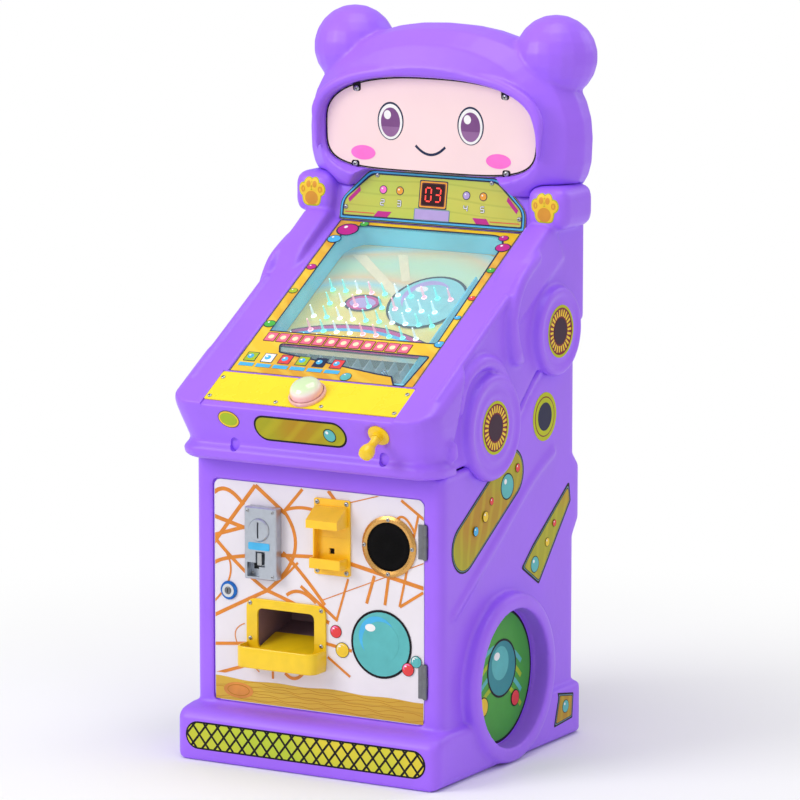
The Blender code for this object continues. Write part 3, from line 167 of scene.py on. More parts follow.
def finish(name, colour, roughness, mottle=(40, 0.06), grain=None, paint=None, rough_spread=0.05, **sockets):
    """A Principled material on Object coordinates.

    mottle is a noise scale per metre and how far it lightens and darkens the colour. grain is a
    noise scale per metre and a bump height in metres. paint makes the colour socket instead.
    """
    material = bpy.data.materials.new(name)
    material.use_nodes = True
    tree = material.node_tree
    shader = tree.nodes["Principled BSDF"]
    coords = node(tree, "ShaderNodeTexCoord").outputs["Object"]
    noise = node(tree, "ShaderNodeTexNoise", {"Vector": coords, "Scale": mottle[0], "Detail": 3.0})
    base = linear(colour)
    material.diffuse_color = base
    if paint:
        tree.links.new(paint(tree, coords), shader.inputs["Base Color"])
    else:
        value = node(tree, "ShaderNodeMapRange",
                     {"Value": noise.outputs["Fac"], "From Min": 0.3, "From Max": 0.7,
                      "To Min": 1 - mottle[1], "To Max": 1 + mottle[1]})
        tint = node(tree, "ShaderNodeHueSaturation", {"Color": base, "Value": value.outputs[0]})
        tree.links.new(tint.outputs[0], shader.inputs["Base Color"])
    rough = node(tree, "ShaderNodeMapRange", {"Value": noise.outputs["Fac"], "From Min": 0.3, "From Max": 0.7,
                                              "To Min": roughness - rough_spread / 2,
                                              "To Max": roughness + rough_spread / 2})
    tree.links.new(rough.outputs[0], shader.inputs["Roughness"])
    if grain:
        fine = node(tree, "ShaderNodeTexNoise", {"Vector": coords, "Scale": grain[0], "Detail": 2.0})
        bump = node(tree, "ShaderNodeBump", {"Height": fine.outputs["Fac"], "Distance": grain[1],
                                             "Strength": 1.0})
        tree.links.new(bump.outputs["Normal"], shader.inputs["Normal"])
    for socket, value in sockets.items():
        shader.inputs[socket.replace("_", " ").title().replace("Ior", "IOR")].default_value = value
    MATERIALS[name] = material


def wood_paint(light, dark, line, length=0.16):
    """Printed wood: long wavy grain lines across a slowly changing colour."""
    def paint(tree, coords):
        long = node(tree, "ShaderNodeMapping", {"Vector": coords, "Scale": (0.35, 1.0, 1.0)})
        slow = node(tree, "ShaderNodeTexNoise",
                    {"Vector": long.outputs[0], "Scale": 1 / length, "Detail": 2.0})
        ground = node(tree, "ShaderNodeValToRGB", {"Fac": slow.outputs["Fac"]}, [(0.35, light), (0.65, dark)])
        wave = node(tree, "ShaderNodeTexWave", {"Vector": long.outputs[0], "Scale": 14.0, "Distortion": 9.0,
                                                "Detail": 1.0, "Detail Scale": 0.6},
                    wave_type="BANDS", bands_direction="Z", wave_profile="SIN")
        thin = node(tree, "ShaderNodeValToRGB", {"Fac": wave.outputs["Fac"]},
                    [(0.93, "#000000"), (0.985, "#8C8C8C")])
        return node(tree, "ShaderNodeMix", {0: thin.outputs[0], 6: ground.outputs[0], 7: linear(line)},
                    data_type="RGBA").outputs[2]
    return paint


def sunny_paint(low, high, streak, angle=0.6):
    """Sticker print: a gradient between two colours with soft slanting streaks."""
    def paint(tree, coords):
        turned = node(tree, "ShaderNodeMapping", {"Vector": coords, "Rotation": (angle, angle, angle)})
        fade = node(tree, "ShaderNodeTexNoise", {"Vector": turned.outputs[0], "Scale": 7.0, "Detail": 0.0})
        ground = node(tree, "ShaderNodeValToRGB", {"Fac": fade.outputs["Fac"]}, [(0.38, low), (0.62, high)])
        bands = node(tree, "ShaderNodeTexWave",
                     {"Vector": turned.outputs[0], "Scale": 12.0, "Distortion": 3.0, "Detail": 1.0},
                     bands_direction="Y")
        soft = node(tree, "ShaderNodeValToRGB", {"Fac": bands.outputs["Fac"]},
                    [(0.55, "#000000"), (1.0, "#9A9A9A")])
        return node(tree, "ShaderNodeMix", {0: soft.outputs[0], 6: ground.outputs[0], 7: linear(streak)},
                    data_type="RGBA").outputs[2]
    return paint


def lattice_paint(tree, coords):
    """Black diamond lattice, 25 mm to the diamond, on a lime ground that yellows along the strip."""
    apart = node(tree, "ShaderNodeSeparateXYZ", {"Vector": coords})
    lines = []
    for sign in (1.0, -1.0):
        tall = node(tree, "ShaderNodeMath", {0: apart.outputs["Z"], 1: sign * 0.80}, operation="MULTIPLY")
        along = node(tree, "ShaderNodeMath", {0: apart.outputs["X"], 1: tall.outputs[0]}, operation="ADD")
        step = node(tree, "ShaderNodeMath", {0: along.outputs[0], 1: 0.0125}, operation="PINGPONG")
        lines.append(node(tree, "ShaderNodeMath", {0: step.outputs[0], 1: 0.0026}, operation="LESS_THAN"))
    both = node(tree, "ShaderNodeMath", {0: lines[0].outputs[0], 1: lines[1].outputs[0]}, operation="MAXIMUM")
    slow = node(tree, "ShaderNodeTexNoise", {"Vector": coords, "Scale": 5.0, "Detail": 1.0})
    ground = node(tree, "ShaderNodeValToRGB", {"Fac": slow.outputs["Fac"]},
                  [(0.40, "#B9C93B"), (0.60, "#DDCB3C")])
    return node(tree, "ShaderNodeMix", {0: both.outputs[0], 6: ground.outputs[0], 7: linear("#171418")},
                data_type="RGBA").outputs[2]


def marble_paint(first, second, scale=90.0):
    """Glass marble with a twisted ribbon of a second colour."""
    def paint(tree, coords):
        wave = node(tree, "ShaderNodeTexWave", {"Vector": coords, "Scale": scale, "Distortion": 6.0,
                                                "Detail": 2.0}, bands_direction="DIAGONAL")
        return node(tree, "ShaderNodeValToRGB", {"Fac": wave.outputs["Fac"]},
                    [(0.45, first), (0.75, second)]).outputs[0]
    return paint


def field_paint(tree, coords):
    """Playfield print: warm cream going to yellow, with broad pale swirls."""
    swirl = node(tree, "ShaderNodeTexWave", {"Vector": coords, "Scale": 2.2, "Distortion": 7.0, "Detail": 1.0,
                                             "Detail Scale": 0.8}, wave_type="RINGS", rings_direction="X")
    ground = node(tree, "ShaderNodeValToRGB", {"Fac": swirl.outputs["Fac"]},
                  [(0.15, "#EFDB7A"), (0.45, "#A9DDE0"), (0.72, "#EFCF9B"), (1.0, "#C9E8C0")])
    noise = node(tree, "ShaderNodeTexNoise", {"Vector": coords, "Scale": 16.0, "Detail": 3.0})
    clouds = node(tree, "ShaderNodeValToRGB", {"Fac": noise.outputs["Fac"]},
                  [(0.50, "#000000"), (0.80, "#909090")])
    return node(tree, "ShaderNodeMix", {0: clouds.outputs[0], 6: ground.outputs[0], 7: linear("#B9E6F2")},
                data_type="RGBA").outputs[2]


def dome_paint(tree, coords):
    """Lit button: pale green on top, going through white to pink at its rim."""
    middle = SLOPED @ Vector((0, -0.045, 0.018))
    centred = node(tree, "ShaderNodeMapping", {"Vector": coords, "Location": tuple(-middle)})
    turned = node(tree, "ShaderNodeVectorRotate", {"Vector": centred.outputs[0], "Angle": -SLOPE},
                  rotation_type="X_AXIS")
    up = node(tree, "ShaderNodeSeparateXYZ", {"Vector": turned.outputs[0]})
    share = node(tree, "ShaderNodeMapRange",
                 {"Value": up.outputs["Z"], "From Min": -0.012, "From Max": 0.012})
    return node(tree, "ShaderNodeValToRGB", {"Fac": share.outputs[0]},
                [(0.0, "#F7A9AE"), (0.42, "#FBC3BF"), (0.62, "#FBEDE4"), (0.86, "#DFF0C6"),
                 (1.0, "#D3EAB8")]).outputs[0]


def grille_paint(tree, coords):
    """Perforated speaker cloth in near-black, its holes 2 mm apart painted darker still as shade in the
    holes.
    """
    cells = node(tree, "ShaderNodeTexVoronoi", {"Vector": coords, "Scale": 420.0, "Randomness": 0.25})
    return node(tree, "ShaderNodeValToRGB", {"Fac": cells.outputs["Distance"]},
                [(0.25, "#020202"), (0.55, "#0E0D0E")]).outputs[0]


def make_materials(colours):
    """Every finish. A comment gives what the material and its making show the eye."""
    # Rotomoulded polyethylene, pigmented: satin gloss over a soft, shallow orange peel.
    finish("purple_rotomoulded_polyethylene", hex_of(colours.purple), 0.40, (9, 0.03), (70, 0.0003),
           coat_weight=0.06, coat_roughness=0.25, specular_ior_level=0.4)
    # Powder-coated steel plate: bright lemon, nearly smooth, a fine peel in the highlight.
    finish("lemon_powder_coat", hex_of(colours.yellow), 0.28, (30, 0.03), (900, 0.00002))
    # Injection-moulded ABS: even gloss with faint flow marks.
    finish("yellow_moulded_abs", hex_of(colours.bracket), 0.30, (35, 0.05), (700, 0.000015), coat_weight=0.2)
    finish("tray_moulded_abs", hex_of(colours.tray), 0.32, (35, 0.06), (700, 0.000015), coat_weight=0.2)
    # Film laminated on steel sheet: off-white with a lilac cast, low sheen, faint ripples.
    finish("laminated_white_film", hex_of(colours.door), 0.34, (12, 0.035), (45, 0.00012))
    finish("web_line_ink", hex_of(colours.web), 0.36, (60, 0.10))
    finish("wood_print_ink", "#D9A92F", 0.36, paint=wood_paint("#DDB838", "#CFA02B", "#A8741B"))
    finish("knot_print_ink", "#D98A35", 0.36, (30, 0.15))
    # Back-printed acrylic: deep colour under a polished face.
    finish("face_pink_acrylic", "#FFDFE1", 0.12, (6, 0.03), coat_weight=0.6, coat_roughness=0.05)
    finish("display_printed_acrylic", "#C3C848", 0.16,
           paint=wood_paint("#B7D052", "#CCC850", "#8E9C36", 0.10), coat_weight=0.5, coat_roughness=0.05)
    finish("border_printed_film", "#E9B51F", 0.22,
           paint=sunny_paint("#F2C61E", "#DE9F17", "#F6DC50"), coat_weight=0.4)
    finish("field_printed_film", "#F1E2A6", 0.30, paint=field_paint)
    # Sticker vinyl: its print colours are darkened with painted shade, the shade of a side turned from the
    # light.
    finish("sticker_vinyl_painted_shade", "#D8B325", 0.30,
           paint=sunny_paint("#A8A418", "#B58613", "#C9BE22", 0.8), specular_ior_level=0.2)
    finish("sticker_lattice_vinyl", "#C6C83A", 0.40, paint=lattice_paint, specular_ior_level=0.2)
    # Screen inks and cut vinyl: flat, slightly uneven films.
    inks = {"black": "#17131A", "white": "#F4F2F2", "ring_lime": "#B9BE12", "ring_maroon": "#7C1F32",
            "ring_navy": "#232244", "wheel_green": "#4FA343", "red": "#E5484A", "teal": "#5FB7B9",
            "deep_teal": "#3B8E97", "sky": "#4FB4E6", "magenta": "#C22D8C", "pink": "#FF8FD8",
            "blush": "#FF77D2", "lime": "#A8BF2B", "green": "#4FB54A", "amber": "#F2A33B",
            "gold": "#F0C93A", "maroon": "#5A2638", "navy": "#27304F", "umber": "#B87A22",
            "pale_teal": "#8FD3D8", "pit": "#56655F", "tile": "#F0708F", "led": "#2A0508",
            "eye": "#7E4F86", "eye_low": "#95699B", "lilac": "#B9A2DC", "plum": "#3A1B33",
            "paw_orange": "#D99638", "cream": "#F5E7C0", "slate": "#6E93A6"}
    for name, code in inks.items():
        finish(f"ink_{name}", code, 0.42, (45, 0.05), specular_ior_level=0.18)
    # Cast and painted zinc: pewter grey with a fine sandy tooth.
    finish("silver_zinc_casting", "#B9BFC9", 0.34, (120, 0.05), (1500, 0.00003), metallic=0.75)
    finish("zinc_plated_steel", "#B7B9BC", 0.30, (200, 0.06), (900, 0.00001), metallic=1.0)
    finish("hinge_steel", "#77797E", 0.42, (120, 0.10), (900, 0.00001), metallic=0.7)
    finish("chromed_brass", "#D9DBDF", 0.10, (60, 0.02), metallic=1.0)
    finish("blue_anodised_ring", "#1F6CC4", 0.22, (90, 0.06), metallic=0.6)
    # Spun and anodised aluminium: warm gold, fine turning lines soften the highlight.
    finish("gold_anodised_aluminium", "#D9A55C", 0.28, (260, 0.05), (1200, 0.00001), metallic=0.85)
    finish("galvanised_sheet", "#9EA2A6", 0.42, (28, 0.14), (300, 0.00001), metallic=0.7)
    finish("black_moulded_abs", "#1C1C1F", 0.42, (60, 0.10), (1400, 0.00003))
    finish("speaker_cloth", "#0A0A0A", 0.90, paint=grille_paint, specular_ior_level=0.12)
    finish("white_moulded_abs", "#E4E1DC", 0.38, (40, 0.03), (900, 0.00002))
    finish("mauve_chute_abs", "#8D6F78", 0.45, (40, 0.08), (900, 0.00002))
    finish("green_solder_mask", "#1F6B3A", 0.35, (300, 0.14), (600, 0.00003))
    finish("blue_moulded_abs", "#2F6DB5", 0.35, (60, 0.06))
    finish("button_pink_acrylic", "#F8B4B2", 0.14, paint=dome_paint, coat_weight=0.7, coat_roughness=0.04)
    finish("housing_pink_abs", "#F2B9AE", 0.25, (50, 0.05), coat_weight=0.3)
    # Clear and tinted acrylic: see-through, held by its bright rim and reflections.
    finish("clear_cast_acrylic", "#CDEFFA", 0.04, (20, 0.02), rough_spread=0.0, alpha=0.11)
    # The tinted frame's emission is a painted glow; the frame holds no lamp.
    finish("teal_tinted_acrylic", "#62C6DC", 0.10, (14, 0.16), coat_weight=0.6, coat_roughness=0.05,
           alpha=0.88, emission_color=linear("#58C4DE"), emission_strength=0.22)
    finish("divider_clear_acrylic", "#D5EAF2", 0.06, (60, 0.08), alpha=0.45, coat_weight=0.5)
    for tint, code, glow in (("ice", "#DDF4FF", 0.45), ("aqua", "#6FEDE6", 0.50), ("rose", "#FFB3C6", 0.45)):
        finish(f"lit_post_{tint}", code, 0.08, (300, 0.10), alpha=0.42, emission_color=linear(code),
               emission_strength=glow, coat_weight=0.6)
        finish(f"post_lamp_{tint}", code, 0.20, (400, 0.05), emission_color=linear(code),
               emission_strength=1.6)
    finish("red_segment_led", "#FF3B30", 0.3, (300, 0.05), emission_color=linear("#FF2A1E"),
           emission_strength=1.4)
    finish("glass_marble_blue", "#2E4E8F", 0.05, paint=marble_paint("#1D2C4F", "#7FB5D8"), coat_weight=1.0,
           coat_roughness=0.02)


def hex_of(colour):
    """A scene-linear colour back to an sRGB hex code."""
    parts = [12.92 * c if c <= 0.0031308 else 1.055 * c ** (1 / 2.4) - 0.055 for c in colour[:3]]
    return "#" + "".join(f"{round(255 * min(max(c, 0.0), 1.0)):02X}" for c in parts)


# ---------------------------------------------------------------- outlines, in a panel's own plane
def disc(x, y, radius, tall=None, count=40):
    tall = tall or radius
    angles = [2 * math.pi * step / count for step in range(count)]
    return [(x + radius * math.cos(angle), y + tall * math.sin(angle)) for angle in angles]


def box_outline(x, y, half, tall):
    return [(x - half, y - tall), (x + half, y - tall), (x + half, y + tall), (x - half, y + tall)]


def rounded(outline, radius, steps=5):
    """Rounds each corner. The radius is one value, or one for each corner."""
    radii = radius if isinstance(radius, (list, tuple)) else [radius] * len(outline)
    result = []
    for index, (corner, wanted) in enumerate(zip(outline, radii)):
        here = Vector(corner)
        back = Vector(outline[index - 1]) - here
        ahead = Vector(outline[(index + 1) % len(outline)]) - here
        if wanted <= 0:
            result.append(tuple(here))
            continue
        half_turn = (math.pi - back.angle(ahead)) / 2
        reach = min(wanted * math.tan(half_turn), 0.49 * back.length, 0.49 * ahead.length)
        start, end = here + back.normalized() * reach, here + ahead.normalized() * reach
        for step in range(steps + 1):
            share = step / steps
            bend = start * (1 - share) ** 2 + here * (2 * share * (1 - share)) + end * share ** 2
            result.append(tuple(bend))
    return result


def stadium(first, last, radius, steps=14):
    """A long outline with round ends about two points."""
    along = Vector(last) - Vector(first)
    heading = math.atan2(along.y, along.x)
    result = []
    for centre, start in ((last, heading - QUARTER), (first, heading + QUARTER)):
        for step in range(steps + 1):
            angle = start + math.pi * step / steps
            result.append((centre[0] + radius * math.cos(angle), centre[1] + radius * math.sin(angle)))
    return result


def grown(outline, distance):
    """Moves each edge of an outline outwards, or inwards by a negative distance."""
    area = sum(a[0] * b[1] - b[0] * a[1] for a, b in zip(outline, outline[1:] + outline[:1]))
    distance = math.copysign(distance, distance * area)
    middle = Vector((sum(x for x, _ in outline), sum(y for _, y in outline))) / len(outline)
    result = []
    for index, corner in enumerate(outline):
        here = Vector(corner)
        before = (here - Vector(outline[index - 1]))
        after = (Vector(outline[(index + 1) % len(outline)]) - here)
        normals = [Vector((edge.y, -edge.x)).normalized() for edge in (before, after) if edge.length > 1e-9]
        out = sum(normals, Vector((0, 0)))
        if out.length < 1e-9:
            out = here - middle
        out.normalize()
        spread = max(0.35, out.dot(normals[0]))
        result.append(tuple(here + out * distance / spread))
    return result


def bezier(start, control, end, steps=16):
    a, b, c = Vector(start), Vector(control), Vector(end)
    return [tuple(a * (1 - t) ** 2 + b * (2 * t * (1 - t)) + c * t ** 2) for t in
            (step / steps for step in range(steps + 1))]


def ribbon(points, width, closed=False):
    """The outline of a line of some width along points; a closed one comes as quads."""
    sides = []
    for index, point in enumerate(points):
        before = Vector(points[index - 1] if index or closed else point)
        after = Vector(points[(index + 1) % len(points)] if index + 1 < len(points) or closed else point)
        along = (after - before).normalized()
        across = Vector((-along.y, along.x)) * width / 2
        sides.append((tuple(Vector(point) - across), tuple(Vector(point) + across)))
    if not closed:
        return [low for low, _ in sides] + [high for _, high in reversed(sides)]
    return [[sides[i - 1][0], sides[i][0], sides[i][1], sides[i - 1][1]] for i in range(len(sides))]


# ---------------------------------------------------------------- making pieces
def to_object(name, bm, materials, place=None, sharp=math.radians(40), recalc=True):
    if recalc:
        bmesh.ops.recalc_face_normals(bm, faces=bm.faces)
    mesh = bpy.data.meshes.new(name)
    bm.to_mesh(mesh)
    bm.free()
    if place is not None:
        mesh.transform(place)
        if place.determinant() < 0:
            mesh.flip_normals()
    for material in materials:
        mesh.materials.append(MATERIALS[material])
    mesh.shade_smooth()
    mesh.set_sharp_from_angle(angle=sharp)
    obj = bpy.data.objects.new(name, mesh)
    bpy.context.scene.collection.objects.link(obj)
    return obj


def join(bm, made, index=None):
    """Moves the faces of one bmesh into another, all with one material if index is given."""
    for face in made.faces:
        face.material_index = index if index is not None else face.material_index
    mesh = bpy.data.meshes.new("joined")
    made.to_mesh(mesh)
    made.free()
    bm.from_mesh(mesh)
    bpy.data.meshes.remove(mesh)


def add_slab(bm, outline, low, high, index=0, cut=None):
    """A thin closed slab from low to high, clipped to the box cut = (x0, y0, x1, y1)."""
    made = bmesh.new()
    made.faces.new([made.verts.new((x, y, low)) for x, y in outline])
    if cut:
        for spot, normal in (((cut[0], 0, 0), (-1, 0, 0)), ((cut[2], 0, 0), (1, 0, 0)),
                             ((0, cut[1], 0), (0, -1, 0)), ((0, cut[3], 0), (0, 1, 0))):
            bmesh.ops.bisect_plane(made, geom=made.verts[:] + made.edges[:] + made.faces[:], plane_co=spot,
                                   plane_no=normal, clear_outer=True)
    if made.faces:
        grown_part = bmesh.ops.extrude_face_region(made, geom=made.faces[:])
        raised = [item for item in grown_part["geom"] if isinstance(item, bmesh.types.BMVert)]
        bmesh.ops.translate(made, verts=raised, vec=(0, 0, high - low))
        bmesh.ops.recalc_face_normals(made, faces=made.faces)
    join(bm, made, index)


FILM = 0.00016                    # one printed layer, drawn thick enough to part the layers


def prints(name, layers, place, body, slot=None, lift=0.0002, cut=None, film=FILM):
    """Printed shapes on a panel: layers of (material, [outlines]), each one film over the last."""
    bm = bmesh.new()
    names = []
    for level, (material, outlines) in enumerate(layers):
        if material not in names:
            names.append(material)
        low = lift + level * film
        for outline in outlines:
            add_slab(bm, outline, low, low + film * 0.9, names.index(material), cut)
    obj = to_object(name, bm, names, place, recalc=False)
    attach(obj, body)
    return obj


def with_hole(name, outer, holes, low, high, material, place, body, slot=None):
    """A sheet with windows: its rims are filled, then drawn out to a slab."""
    bm = bmesh.new()
    edges = []
    for outline in (outer, *holes):
        verts = [bm.verts.new((x, y, low)) for x, y in outline]
        edges += [bm.edges.new(pair) for pair in zip(verts, verts[1:] + verts[:1])]
    bmesh.ops.triangle_fill(bm, use_beauty=True, edges=edges)
    grown_part = bmesh.ops.extrude_face_region(bm, geom=bm.faces[:])
    raised = [item for item in grown_part["geom"] if isinstance(item, bmesh.types.BMVert)]
    bmesh.ops.translate(bm, verts=raised, vec=(0, 0, high - low))
    obj = to_object(name, bm, [material], place)
    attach(obj, body)
    return obj


def lathe(bm, profile, place, count=20, index=0):
    """Spins (radius, height) points, both ends on the axis or closed, around local Z at place."""
    made = bmesh.new()
    verts = [made.verts.new((radius, 0, height)) for radius, height in profile]
    edges = [made.edges.new(pair) for pair in zip(verts, verts[1:])]
    bmesh.ops.spin(made, geom=verts + edges, axis=(0, 0, 1), cent=(0, 0, 0), angle=2 * math.pi, steps=count,
                   use_merge=True)
    bmesh.ops.remove_doubles(made, verts=made.verts, dist=1e-6)
    bmesh.ops.recalc_face_normals(made, faces=made.faces)
    bmesh.ops.transform(made, matrix=place, verts=made.verts)
    join(bm, made, index)


def screws(name, places, body, radius=0.0042, material="zinc_plated_steel"):
    """Pan-head screws, their cross recess drawn as black bars of painted shade, at frames whose Z points out.
    """
    bm = bmesh.new()
    high = radius * 0.55
    dome = [(0, 0), (radius, 0), (radius, high * 0.35), (radius * 0.82, high * 0.75),
            (radius * 0.45, high * 0.97), (0, high)]
    for place in places:
        lathe(bm, dome, place, 16)
        made = bmesh.new()
        # The cross recess is not cut: two black bars stand on the head as painted shade.
        for turn in (0.35, 0.35 + QUARTER):
            bar = bmesh.ops.create_cube(made, size=1.0)["verts"]
            bmesh.ops.scale(made, vec=(radius * 1.1, radius * 0.24, high * 0.12), verts=bar)
            bmesh.ops.rotate(made, cent=(0, 0, 0), matrix=Matrix.Rotation(turn, 3, "Z"), verts=bar)
            bmesh.ops.translate(made, vec=(0, 0, high * 0.98), verts=bar)
        bmesh.ops.transform(made, matrix=place, verts=made.verts)
        join(bm, made, 1)
    obj = to_object(name, bm, [material, "black_moulded_abs"], recalc=False)
    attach(obj, body)
    return obj


def dress(node_name, material):
    """Gives a model node its finish and smooth shading, with its shape as it is."""
    obj = NODES[node_name]
    obj.data.materials.clear()
    obj.data.materials.append(MATERIALS[material])
    for face in obj.data.polygons:
        face.use_smooth = True
    weld = obj.modifiers.new("weld", "WELD")
    weld.merge_threshold = 1e-5
    split = obj.modifiers.new("crisp_edges", "EDGE_SPLIT")
    split.split_angle = math.radians(32)
    return obj


# ---------------------------------------------------------------- soft skins of the mouldings
def closed_copy(node_name):
    bm = bmesh.new()
    bm.from_mesh(NODES[node_name].data)
    bmesh.ops.remove_doubles(bm, verts=bm.verts, dist=2e-5)
    return bm


def add_balls(bm, shapes):
    """Adds a unit ball under each matrix."""
    made = bmesh.new()
    bmesh.ops.create_uvsphere(made, u_segments=12, v_segments=8, radius=1.0)
    unit = bpy.data.meshes.new("ball")
    made.to_mesh(unit)
    made.free()
    for shape in shapes:
        mesh = unit.copy()
        mesh.transform(shape)
        bm.from_mesh(mesh)
        bpy.data.meshes.remove(mesh)
    bpy.data.meshes.remove(unit)


def roll(bm, points, radii, squash=(1, 1, 1), fine=10):
    """A soft rounded ridge: overlapping balls of the given radii along points."""
    shapes = []
    points = [Vector(point) for point in points]
    total = len(points) - 1
    steps = total * fine
    for step in range(steps + 1):
        place = step / fine
        index = min(int(place), total - 1)
        share = place - index
        before, after = points[max(index - 1, 0)], points[min(index + 2, total)]
        a, b = points[index], points[index + 1]
        spot = 0.5 * (2 * a + (b - before) * share + (2 * before - 5 * a + 4 * b - after) * share ** 2
                      + (3 * a - before - 3 * b + after) * share ** 3)
        radius = radii[index] * (1 - share) + radii[index + 1] * share
        shapes.append(Matrix.Translation(spot) @ Matrix.Diagonal((*(radius * s for s in squash), 1)))
    add_balls(bm, shapes)


def ring_ridge(bm, side, x, y, z, radius, thick, flat=0.6):
    """A round ridge standing on a side wall."""
    shapes = []
    for step in range(96):
        angle = 2 * math.pi * step / 96
        spot = (side * x, y + radius * math.cos(angle), z + radius * math.sin(angle))
        shapes.append(Matrix.Translation(spot) @ Matrix.Diagonal((thick * flat, thick, thick, 1)))
    add_balls(bm, shapes)


def cutter(name, outline, low, high, place):
    bm = bmesh.new()
    add_slab(bm, outline, low, high)
    return to_object(name, bm, [], place)


def skin(name, node_name, sculpt, cutters, voxel, smooth, target):
    """Turns a moulding's solid into one soft-edged skin with its ridges, then cuts the crisp beds."""
    bm = closed_copy(node_name)
    sculpt(bm)
    obj = to_object(name, bm, ["purple_rotomoulded_polyethylene"], recalc=False)
    remesh = obj.modifiers.new("skin", "REMESH")
    remesh.mode, remesh.voxel_size, remesh.use_smooth_shade = "VOXEL", voxel, True
    soften = obj.modifiers.new("soften", "SMOOTH")
    soften.factor, soften.iterations = 0.5, smooth
    thin = obj.modifiers.new("thin", "DECIMATE")
    graph = bpy.context.evaluated_depsgraph_get()
    count = len(obj.evaluated_get(graph).data.polygons)
    thin.ratio = min(1.0, target / (2 * count)) if count > target / 2 else 1.0
    for index, tool in enumerate(cutters):
        tool.hide_render = True
        step = obj.modifiers.new(f"bed_{index}", "BOOLEAN")
        step.operation, step.solver, step.object = "DIFFERENCE", "MANIFOLD", tool
    graph = bpy.context.evaluated_depsgraph_get()
    mesh = bpy.data.meshes.new_from_object(obj.evaluated_get(graph))
    obj.modifiers.clear()
    obj.data = mesh
    mesh.shade_smooth()
    mesh.set_sharp_from_angle(angle=math.radians(50))
    for tool in cutters:
        bpy.data.objects.remove(tool)
    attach(obj, "cabinet")
    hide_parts(node_name)
    return obj


def surface_of(obj):
    graph = bpy.context.evaluated_depsgraph_get()
    return BVHTree.FromObject(obj, graph)


def hit(tree, start, direction):
    """Where a ray from start first meets the surface."""
    spot, _, _, _ = tree.ray_cast(Vector(start), Vector(direction))
    if spot is None:
        raise RuntimeError(f"nothing to lay a sticker on from {tuple(start)}")
    return spot


# ---------------------------------------------------------------- what each operator makes
def display_outline(grow=0.0):
    half, shoulder, tall = display_high.x, 0.035, 0.0905
    return rounded([(-half - grow, -grow), (half + grow, -grow), (half + grow, shoulder),
                    (half + grow - 0.055, tall + grow), (0.055 - half - grow, tall + grow),
                    (-half - grow, shoulder)], [0.003, 0.003, 0.030, 0.030, 0.030, 0.030], 6)


def face_outline(grow=0.0, count=96):
    """A wide rounded panel, flatter along its lower edge."""
    across, tall = face_high.x + grow, (face_high.z - face_low.z) / 2 + grow
    result = []
    for step in range(count):
        angle = 2 * math.pi * step / count
        power = 2 / 2.5 if math.sin(angle) >= 0 else 2 / 4.5
        x = math.copysign(abs(math.cos(angle)) ** power, math.cos(angle)) * across
        y = math.copysign(abs(math.sin(angle)) ** power, math.sin(angle)) * tall
        result.append((x, y))
    return result


def side_loop(bm, points, side, x, radius, flat=0.55):
    """A soft ridge lying on a side wall along (y, z) points."""
    spots = [(side * x, y, z) for y, z in points]
    roll(bm, spots, [radius] * len(spots), (flat, 1, 1), 60)


